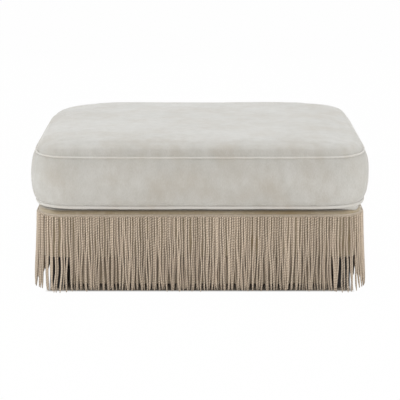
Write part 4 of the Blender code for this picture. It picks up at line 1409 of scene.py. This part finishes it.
# %% Beads tree
def beads_tree():
    """Beads along a path, each turned to it with its back to the surface, and tilted."""
    sizes = ("Spacing", "Bead Length", "Bead Width", "Bead Height", "Tilt")
    tree, start = new_tree("beads_along_a_path", Float=sizes, Material=("Finish",))
    places = even_steps(start)
    outward = named(start, "outward", "FLOAT_VECTOR")
    tangent = start.node("GeometryNodeInputTangent")
    settings = {"axis": "X", "pivot_axis": "AUTO"}
    turned = start.node("FunctionNodeAlignRotationToVector", settings, {"Vector": tangent})
    settings = {"axis": "Z", "pivot_axis": "X"}
    inputs = {"Rotation": turned, "Vector": outward}
    turned = start.node("FunctionNodeAlignRotationToVector", settings, inputs)
    axis = start.node("ShaderNodeCombineXYZ", inputs={2: 1.0})
    inputs = {"Axis": axis, "Angle": start.of("Tilt")}
    tilt = start.node("FunctionNodeAxisAngleToRotation", inputs=inputs)
    inputs = {"Rotation": turned, "Rotate By": tilt}
    turned = start.node("FunctionNodeRotateRotation", {"rotation_space": "LOCAL"}, inputs)
    inputs = {"Segments": 6, "Rings": 4, "Radius": 0.5}
    bead = start.node("GeometryNodeMeshUVSphere", inputs=inputs)
    inputs = {0: start.of("Bead Length"), 1: start.of("Bead Width"), 2: start.of("Bead Height")}
    size = start.node("ShaderNodeCombineXYZ", inputs=inputs)
    inputs = {"Points": places, "Instance": bead, "Rotation": turned, "Scale": size}
    beads = start.node("GeometryNodeInstanceOnPoints", inputs=inputs)
    finish_tree(beads, start.of("Finish"))
    return tree


beads = beads_tree()
print("nodes in the bead tree:", len(beads.nodes))


def bead_row(name, path, spacing, size, finish, tilt=0.0):
    """Beads of a length, a width and a height along a path."""
    values = {"Spacing": spacing, "Tilt": tilt, "Finish": finish}
    values.update(zip(("Bead Length", "Bead Width", "Bead Height"), size))
    return grown(name, path, beads, values)


# %% The fringe's heading: a tape with a braid of two rows of beads
TAPE_PROFILE = ((0.0006, 1.0), (0.0022, 0.8), (0.0024, 0.5), (0.0022, 0.2), (0.0006, 0.0))
TAPE_WALL = 0.0005
BRAID_OUT = 0.0028
BRAID_STEP = 0.0034
BRAID_BEAD = (0.0052, 0.002, 0.002)
BRAID_TILT = 0.75


def skirt(out, height, **steps):
    """Points round the base, so far out from its cloth."""
    return at_height(outline(base_half_x + out, base_half_y + out, BASE_CORNER + out, **steps), height)


rings = [skirt(out, heading_bottom + share * HEADING_HEIGHT) for out, share in TAPE_PROFILE]
heading = new_piece("fringe_heading", lofted("fringe_heading", rings), braid)
wall(heading, TAPE_WALL)
heading = settled(heading, braid)
hand_over(heading, "base", "fringe")
for name, share, tilt in (
    ("heading_braid_top", 0.7, BRAID_TILT),
    ("heading_braid_bottom", 0.3, -BRAID_TILT),
):
    height = heading_bottom + share * HEADING_HEIGHT
    points = skirt(BRAID_OUT, height, corner_steps=24, side_steps=(16, 11))
    path = path_mesh(name + "_path", points, at_height(ways_out(points[:, :2]), 0.0))
    row = bead_row(name, path, BRAID_STEP, BRAID_BEAD, braid, tilt)
    hand_over(row, "base", "fringe")

# %% [markdown]
# ## Lining panels and dust cover
#
# Between the feet a taupe lining hangs behind the fringe, and stops about two centimetres above
# the floor. Each panel is a sheet with soft vertical waves that grow towards its lower edge. The
# dust cover is a thin black sheet stapled under the frame.

# %% Lining panels
LINING_WALL = 0.0008
LINING_BACK = 0.001
LINING_WAVE = 0.0035
LINING_WAVES_PER_METRE = 13.0
UPRIGHT_SHARE = 0.3
LINING_COLUMNS = 90
LINING_ROWS = 14
FLANGE = 0.02
FLANGE_DROP = 0.0004


def hung_panel(name, node_name, seed):
    """A hanging sheet in the place of a lining panel, with waves that grow downwards."""
    low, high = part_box(node_name)
    run = long_way(low, high)
    facing = math.copysign(1, low[1 - run] + high[1 - run])
    outer = (high if facing > 0 else low)[1 - run]
    half = (high[run] - low[run]) / 2
    across = np.linspace(-half, half, LINING_COLUMNS)
    rows = []
    for share in np.linspace(0.0, 1.0, LINING_ROWS):
        heights = np.full(LINING_COLUMNS, high.z + (low.z - high.z) * share)
        line = np.column_stack((across, UPRIGHT_SHARE * heights, np.zeros(LINING_COLUMNS)))
        wave = LINING_WAVE * share * wander(line, LINING_WAVES_PER_METRE, seed)
        depth = outer - facing * (LINING_BACK + np.abs(wave))
        rows.append(np.column_stack((*x_and_y(run, across, depth), heights)))
    flange = rows[0].copy()
    flange[:, 1 - run] -= facing * FLANGE
    flange[:, 2] -= FLANGE_DROP
    panel = new_piece(name, lofted(name, [flange, *rows], closed=False), lining_cloth)
    wall(panel, LINING_WALL)
    panel = settled(panel, lining_cloth)
    hand_over(panel, "base", "lining", node_name)


for seed, side in enumerate(("front", "back", "left", "right")):
    hung_panel("lining_panel_" + side, "lining_" + side, 50 + seed)

# %% Dust cover
DUST_SAG = 0.004
DUST_WALL = 0.0006
DUST_CREASE = 0.0006
DUST_STEPS = (41, 29)
MARGIN_STEPS = 4
NOTCH_MARGIN = 0.004
_, dust_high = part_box("dust_cover")
foot_low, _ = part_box("foot_back_right")
notch = np.array((foot_low.x - NOTCH_MARGIN, foot_low.y - NOTCH_MARGIN))


def steps_to(edge, notch_edge, count):
    """Grid lines across a sheet, with a line on each notch."""
    margin = np.linspace(notch_edge, edge, MARGIN_STEPS)
    middle = np.linspace(-notch_edge, notch_edge, count)
    return np.concatenate((-margin[:0:-1], middle, margin[1:]))


def notched_sheet(name, edge_x, edge_y, height):
    """A flat grid with its four corners left out."""
    xs = steps_to(edge_x, notch[0], DUST_STEPS[0])
    ys = steps_to(edge_y, notch[1], DUST_STEPS[1])
    shape = bmesh.new()
    grid = [[shape.verts.new((x, y, height)) for x in xs] for y in ys]
    for row, y in enumerate(ys[:-1]):
        for column, x in enumerate(xs[:-1]):
            middle = np.array((x + xs[column + 1], y + ys[row + 1])) / 2
            if (np.abs(middle) > notch).all():
                continue
            upper, lower = grid[row + 1], grid[row]
            shape.faces.new((upper[column], upper[column + 1], lower[column + 1], lower[column]))
    stray = [vert for vert in shape.verts if not vert.link_faces]
    bmesh.ops.delete(shape, geom=stray, context="VERTS")
    return new_piece(name, mesh_of(shape, name), dust_cloth)


dust = notched_sheet("dust_cloth_sheet", dust_high.x, dust_high.y, dust_high.z)
dust_points = points_of(dust)
span = np.array((dust_high.x, dust_high.y))
hang = np.prod(1 - (dust_points[:, :2] / span) ** 2, axis=1)
crease = DUST_CREASE * np.abs(wander(dust_points, 12.0, 71))
dust_points[:, 2] -= DUST_SAG * hang**0.5 + crease
move_points(dust, dust_points)
wall(dust, DUST_WALL, outwards=True)
dust = settled(dust, dust_cloth)
hand_over(dust, "base", "dust_cloth", "dust_cover")

# %% [markdown]
# ## Staples and tacks
#
# Staples hold the dust cover along its four edges, and each strap ends in a line of tacks with
# flat round heads. Both are small and many, so the bead tree makes them: long thin beads for the
# staples, and low round ones for the heads.

# %% Staples and tacks
STAPLE_INSET = 0.007
STAPLE_RISE = 0.0004
STAPLE_END = 0.015
STAPLE_STEP = 0.045
STAPLE = (0.011, 0.0013, 0.0012)
TACK_INSET = 0.012
TACK_EDGE = 0.007
TACK_RISE = 0.0028
TACK_STEP = 0.009
TACK = (0.0045, 0.0045, 0.0014)


def fasteners(name, lines, outward, spacing, size, finish):
    """Beads on separate straight lines: staples, tacks or stitches."""
    points = np.array([point for line in lines for point in line])
    edges = [(i, i + 1) for i in range(0, len(points), 2)]
    path = path_mesh(name + "_path", points, np.array(outward), edges)
    return bead_row(name, path, spacing, size, finish)


staple_x, staple_y = dust_high.x - STAPLE_INSET, dust_high.y - STAPLE_INSET
staple_z = dust_high.z - DUST_WALL - STAPLE_RISE
span_x, span_y = notch[0] - STAPLE_END, notch[1] - STAPLE_END
staple_lines = []
for side in (-1, 1):
    x, y = side * staple_x, side * staple_y
    staple_lines.append(((-span_x, y, staple_z), (span_x, y, staple_z)))
    staple_lines.append(((x, -span_y, staple_z), (x, span_y, staple_z)))
DOWN = (0.0, 0.0, -1.0)
staples = fasteners("dust_cloth_staples", staple_lines, DOWN, STAPLE_STEP, STAPLE, zinc)
hand_over(staples, "base", "steel")

tack_lines = []
for node_name in web_nodes:
    low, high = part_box(node_name)
    run = long_way(low, high)
    edges = (low[1 - run] + TACK_EDGE, high[1 - run] - TACK_EDGE)
    for end in (low[run] + TACK_INSET, high[run] - TACK_INSET):
        tack_lines.append([(*x_and_y(run, end, edge), low.z + TACK_RISE) for edge in edges])
UP = (0.0, 0.0, 1.0)
tacks = fasteners("strap_tacks", tack_lines, UP, TACK_STEP, TACK, zinc)
hand_over(tacks, "base", "steel")

# %% [markdown]
# ## The zip
#
# The cover comes off for cleaning through a zip in the back of the band. Its tape is woven and
# lies flat on the velvet, sewn down along both edges. The teeth are a nylon coil, which looks like
# a close row of small beads, so the bead tree makes it, and the stitches too. The end stops are
# small pressed blocks. Slider and pull are rigid and come from the frame.

# %% Zip tape
TAPE_OUT = 0.0016
HALF_TAPE = ((0.24, 0.0013), (0.3, TAPE_OUT), (0.6, TAPE_OUT), (0.98, 0.0014), (1.0, 0.0005))
ZIP_PROFILE = [(-up, out) for up, out in reversed(HALF_TAPE)] + list(HALF_TAPE)
tape_half = (zip_high.z - zip_low.z) / 2
rings = []
for x in np.linspace(zip_low.x, zip_high.x, 97):
    ring = [(x, zip_low.y + out, ZIP_MIDDLE + tape_half * up) for up, out in ZIP_PROFILE]
    rings.append(np.array(ring))
zip_mesh = facing_out(lofted("zip_woven_tape", rings, True, True))
hand_over(new_piece("zip_woven_tape", zip_mesh, zip_cloth), "cushion", "zip_tape", "zip_tape")

# %% Coil and stitches
COIL_STEP = 0.0019
COIL_OUT = 0.0019
COIL_INSET = 0.005
COIL_BEAD = (0.0017, 0.0052, 0.003)
STITCH_STEP = 0.0036
STITCH_LINE = 0.0095
STITCH_INSET = 0.002
STITCH = (0.0028, 0.0007, 0.0006)
BACKWARD = (0.0, 1.0, 0.0)


def zip_line(inset, out, up):
    """A line along the zip, from near one of its ends to near the other."""
    ends = (zip_low.x + inset, zip_high.x - inset)
    return [(x, zip_low.y + out, ZIP_MIDDLE + up) for x in ends]


coil_lines = [zip_line(COIL_INSET, COIL_OUT, 0.0)]
coil = fasteners("zip_coil", coil_lines, BACKWARD, COIL_STEP, COIL_BEAD, zip_metal)
hand_over(coil, "cushion", "zip_metal")
stitch_lines = [zip_line(STITCH_INSET, TAPE_OUT, up) for up in (-STITCH_LINE, STITCH_LINE)]
stitches = fasteners("zip_stitches", stitch_lines, BACKWARD, STITCH_STEP, STITCH, ivory_piping)
hand_over(stitches, "cushion", "zip_tape")

# %% End stops
STOP_SIZE = (0.0028, 0.0022, 0.0026)
STOP_ROUND_SHARE = 0.3
STOP_OFF_MIDDLE = 0.0018
STOP_OUT = 0.0023
FIRST_STOP = 0.0028
LAST_STOP = 0.0018


def end_stops(name, places, size):
    """Small pressed blocks with rounded edges, across the coil's two ends."""
    shape = bmesh.new()
    for place in places:
        made = bmesh.ops.create_cube(shape, size=1.0)["verts"]
        bmesh.ops.scale(shape, vec=size, verts=made)
        bmesh.ops.translate(shape, vec=place, verts=made)
    rounding = min(size) * STOP_ROUND_SHARE
    bmesh.ops.bevel(shape, geom=shape.edges[:], offset=rounding, segments=2, affect="EDGES")
    return new_piece(name, mesh_of(shape, name), zip_metal)


stop_places = []
for x in (zip_low.x + FIRST_STOP, zip_high.x - LAST_STOP):
    for up in (-STOP_OFF_MIDDLE, STOP_OFF_MIDDLE):
        stop_places.append((x, zip_low.y + STOP_OUT, ZIP_MIDDLE + up))
hand_over(end_stops("zip_end_stops", stop_places, STOP_SIZE), "cushion", "zip_metal")

# %% [markdown]
# ## Felt glides
#
# A disc of felt under each foot keeps the floor from scratches. Felt has no sharp edge: the disc
# is lofted from circles with a full rim.

# %% Felt glides
GLIDE_RIM = 0.0016
RIM_CORNER_SHARE = 0.3


def glide_disc(name, node_name):
    """A disc in the place of a foot's glide, lofted from circles round a full rim."""
    low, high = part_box(node_name)
    centre = np.array(((low.x + high.x) / 2, (low.y + high.y) / 2))
    radius = (high.x - low.x) / 2
    turns = np.linspace(0.0, 2 * math.pi, 32, endpoint=False)
    circle = np.column_stack((np.cos(turns), np.sin(turns)))
    corner = GLIDE_RIM * RIM_CORNER_SHARE
    half_rim = ((radius * 0.5, 0.0), (GLIDE_RIM, 0.0), (corner, corner), (0.0, GLIDE_RIM))
    rings = [at_height(centre + circle * (radius - inset), high.z - drop) for inset, drop in half_rim]
    for inset, rise in reversed(half_rim):
        rings.append(at_height(centre + circle * (radius - inset), low.z + rise))
    return new_piece(name, facing_out(lofted(name, rings, True, True)), grey_felt)


for node_name in sorted(name for name in nodes if name.startswith("glide_")):
    hand_over(glide_disc("felt_" + node_name, node_name), "base", "glide_felt", node_name)

# %% [markdown]
# ## The studio
#
# The stool stands on a white floor in even, soft light: a big lamp above, one at each side, and
# a broad one in front and behind. Together with the white world they light a surface about once,
# so a colour renders as it is written. For the camera the floor is mostly its own white, and
# keeps a share of the real light, so that a faint shadow stays. Under the stool it keeps all.

# %% World
AMBIENT = 0.46
WHITE = (1.0, 1.0, 1.0, 1.0)


def seen_directly(wire):
    """1 for a ray from the camera, or by way of gloss or glass, and 0 for one that lights."""
    light_path = wire.node("ShaderNodeLightPath")
    seen = light_path.of("Is Camera Ray")
    for ray in ("Is Glossy Ray", "Is Transmission Ray"):
        seen = wire.maths("MAXIMUM", seen, light_path.of(ray))
    return seen


world = bpy.data.worlds.new("studio")
scene.world = world
world.use_nodes = True
background = world.node_tree.nodes["Background"]
background.inputs["Color"].default_value = WHITE
strength = seen_directly(Wire(world.node_tree)) * (1 - AMBIENT) + AMBIENT
world.node_tree.links.new(strength.socket, background.inputs["Strength"])
print("nodes in the world:", len(world.node_tree.nodes))

# %% Floor
FLOOR_SIZE = 60.0
WHITENESS = 0.985
UNDER_HALF_X = 0.445
UNDER_HALF_Y = 0.338
OPEN_FLOOR = (0.8, 0.79, 0.77)
# Under the stool the floor's own colour is darker and browner than in the open: painted shade, on top of
# the real shadow it keeps there.
SHADED_FLOOR = (0.5, 0.44, 0.36)
floor_finish, floor_shader, place = new_finish(
    "white_floor", {"Roughness": 0.9, "Specular IOR Level": 0.1}
)
x, y, _ = split(place)
beyond_x = place.maths("ABSOLUTE", x) - UNDER_HALF_X
beyond_y = place.maths("ABSOLUTE", y) - UNDER_HALF_Y
beyond = stretched(place.maths("MAXIMUM", beyond_x, beyond_y), -0.005, 0.01)
feed(floor_shader, Base_Color=mixed(beyond, SHADED_FLOOR, OPEN_FLOOR))
glow = place.node("ShaderNodeEmission", inputs={"Color": WHITE, "Strength": 1.0})
real = Wire(floor_finish.node_tree, floor_shader.outputs[0])
white_share = seen_directly(place) * beyond * WHITENESS
both = place.node("ShaderNodeMixShader", inputs={0: white_share, 1: real, 2: glow})
output = floor_finish.node_tree.nodes["Material Output"]
floor_finish.node_tree.links.new(both.socket, output.inputs["Surface"])
shape = bmesh.new()
bmesh.ops.create_grid(shape, x_segments=1, y_segments=1, size=FLOOR_SIZE / 2)
floor = bpy.data.objects.new("floor", mesh_of(shape, "floor"))
floor.data.materials.append(floor_finish)
scene.collection.objects.link(floor)
print("floor is", FLOOR_SIZE, "m wide")


# %% Lamps
def lamp(name, place, aim, size, power, colour):
    """A soft rectangular lamp that looks at a point."""
    light = bpy.data.lights.new(name, "AREA")
    light.shape = "RECTANGLE"
    light.size, light.size_y = size
    light.energy = power
    light.color = colour
    holder = bpy.data.objects.new(name, light)
    scene.collection.objects.link(holder)
    holder.location = place
    holder.rotation_euler = (Vector(place) - Vector(aim)).to_track_quat("Z", "Y").to_euler()


COOL = (0.96, 0.985, 1.0)
WARM = (1.0, 0.97, 0.93)
lamp("top_lamp", (0.0, 0.1, 2.4), (0, 0, 0.3), (2.6, 2.2), 20.5, COOL)
lamp("left_lamp", (-2.4, -0.6, 1.1), (0, 0, 0.3), (1.4, 1.6), 26.0, COOL)
lamp("right_lamp", (2.4, -0.6, 1.1), (0, 0, 0.3), (1.4, 1.6), 23.0, COOL)
lamp("back_lamp", (0.0, 4.0, 1.6), (0, 0, 0.25), (2.6, 1.0), 25.0, COOL)
lamp("front_lamp", (0.0, -4.0, 1.6), (0, 0, 0.25), (2.6, 1.0), 50.0, WARM)
print("lamps:", len(bpy.data.lights))
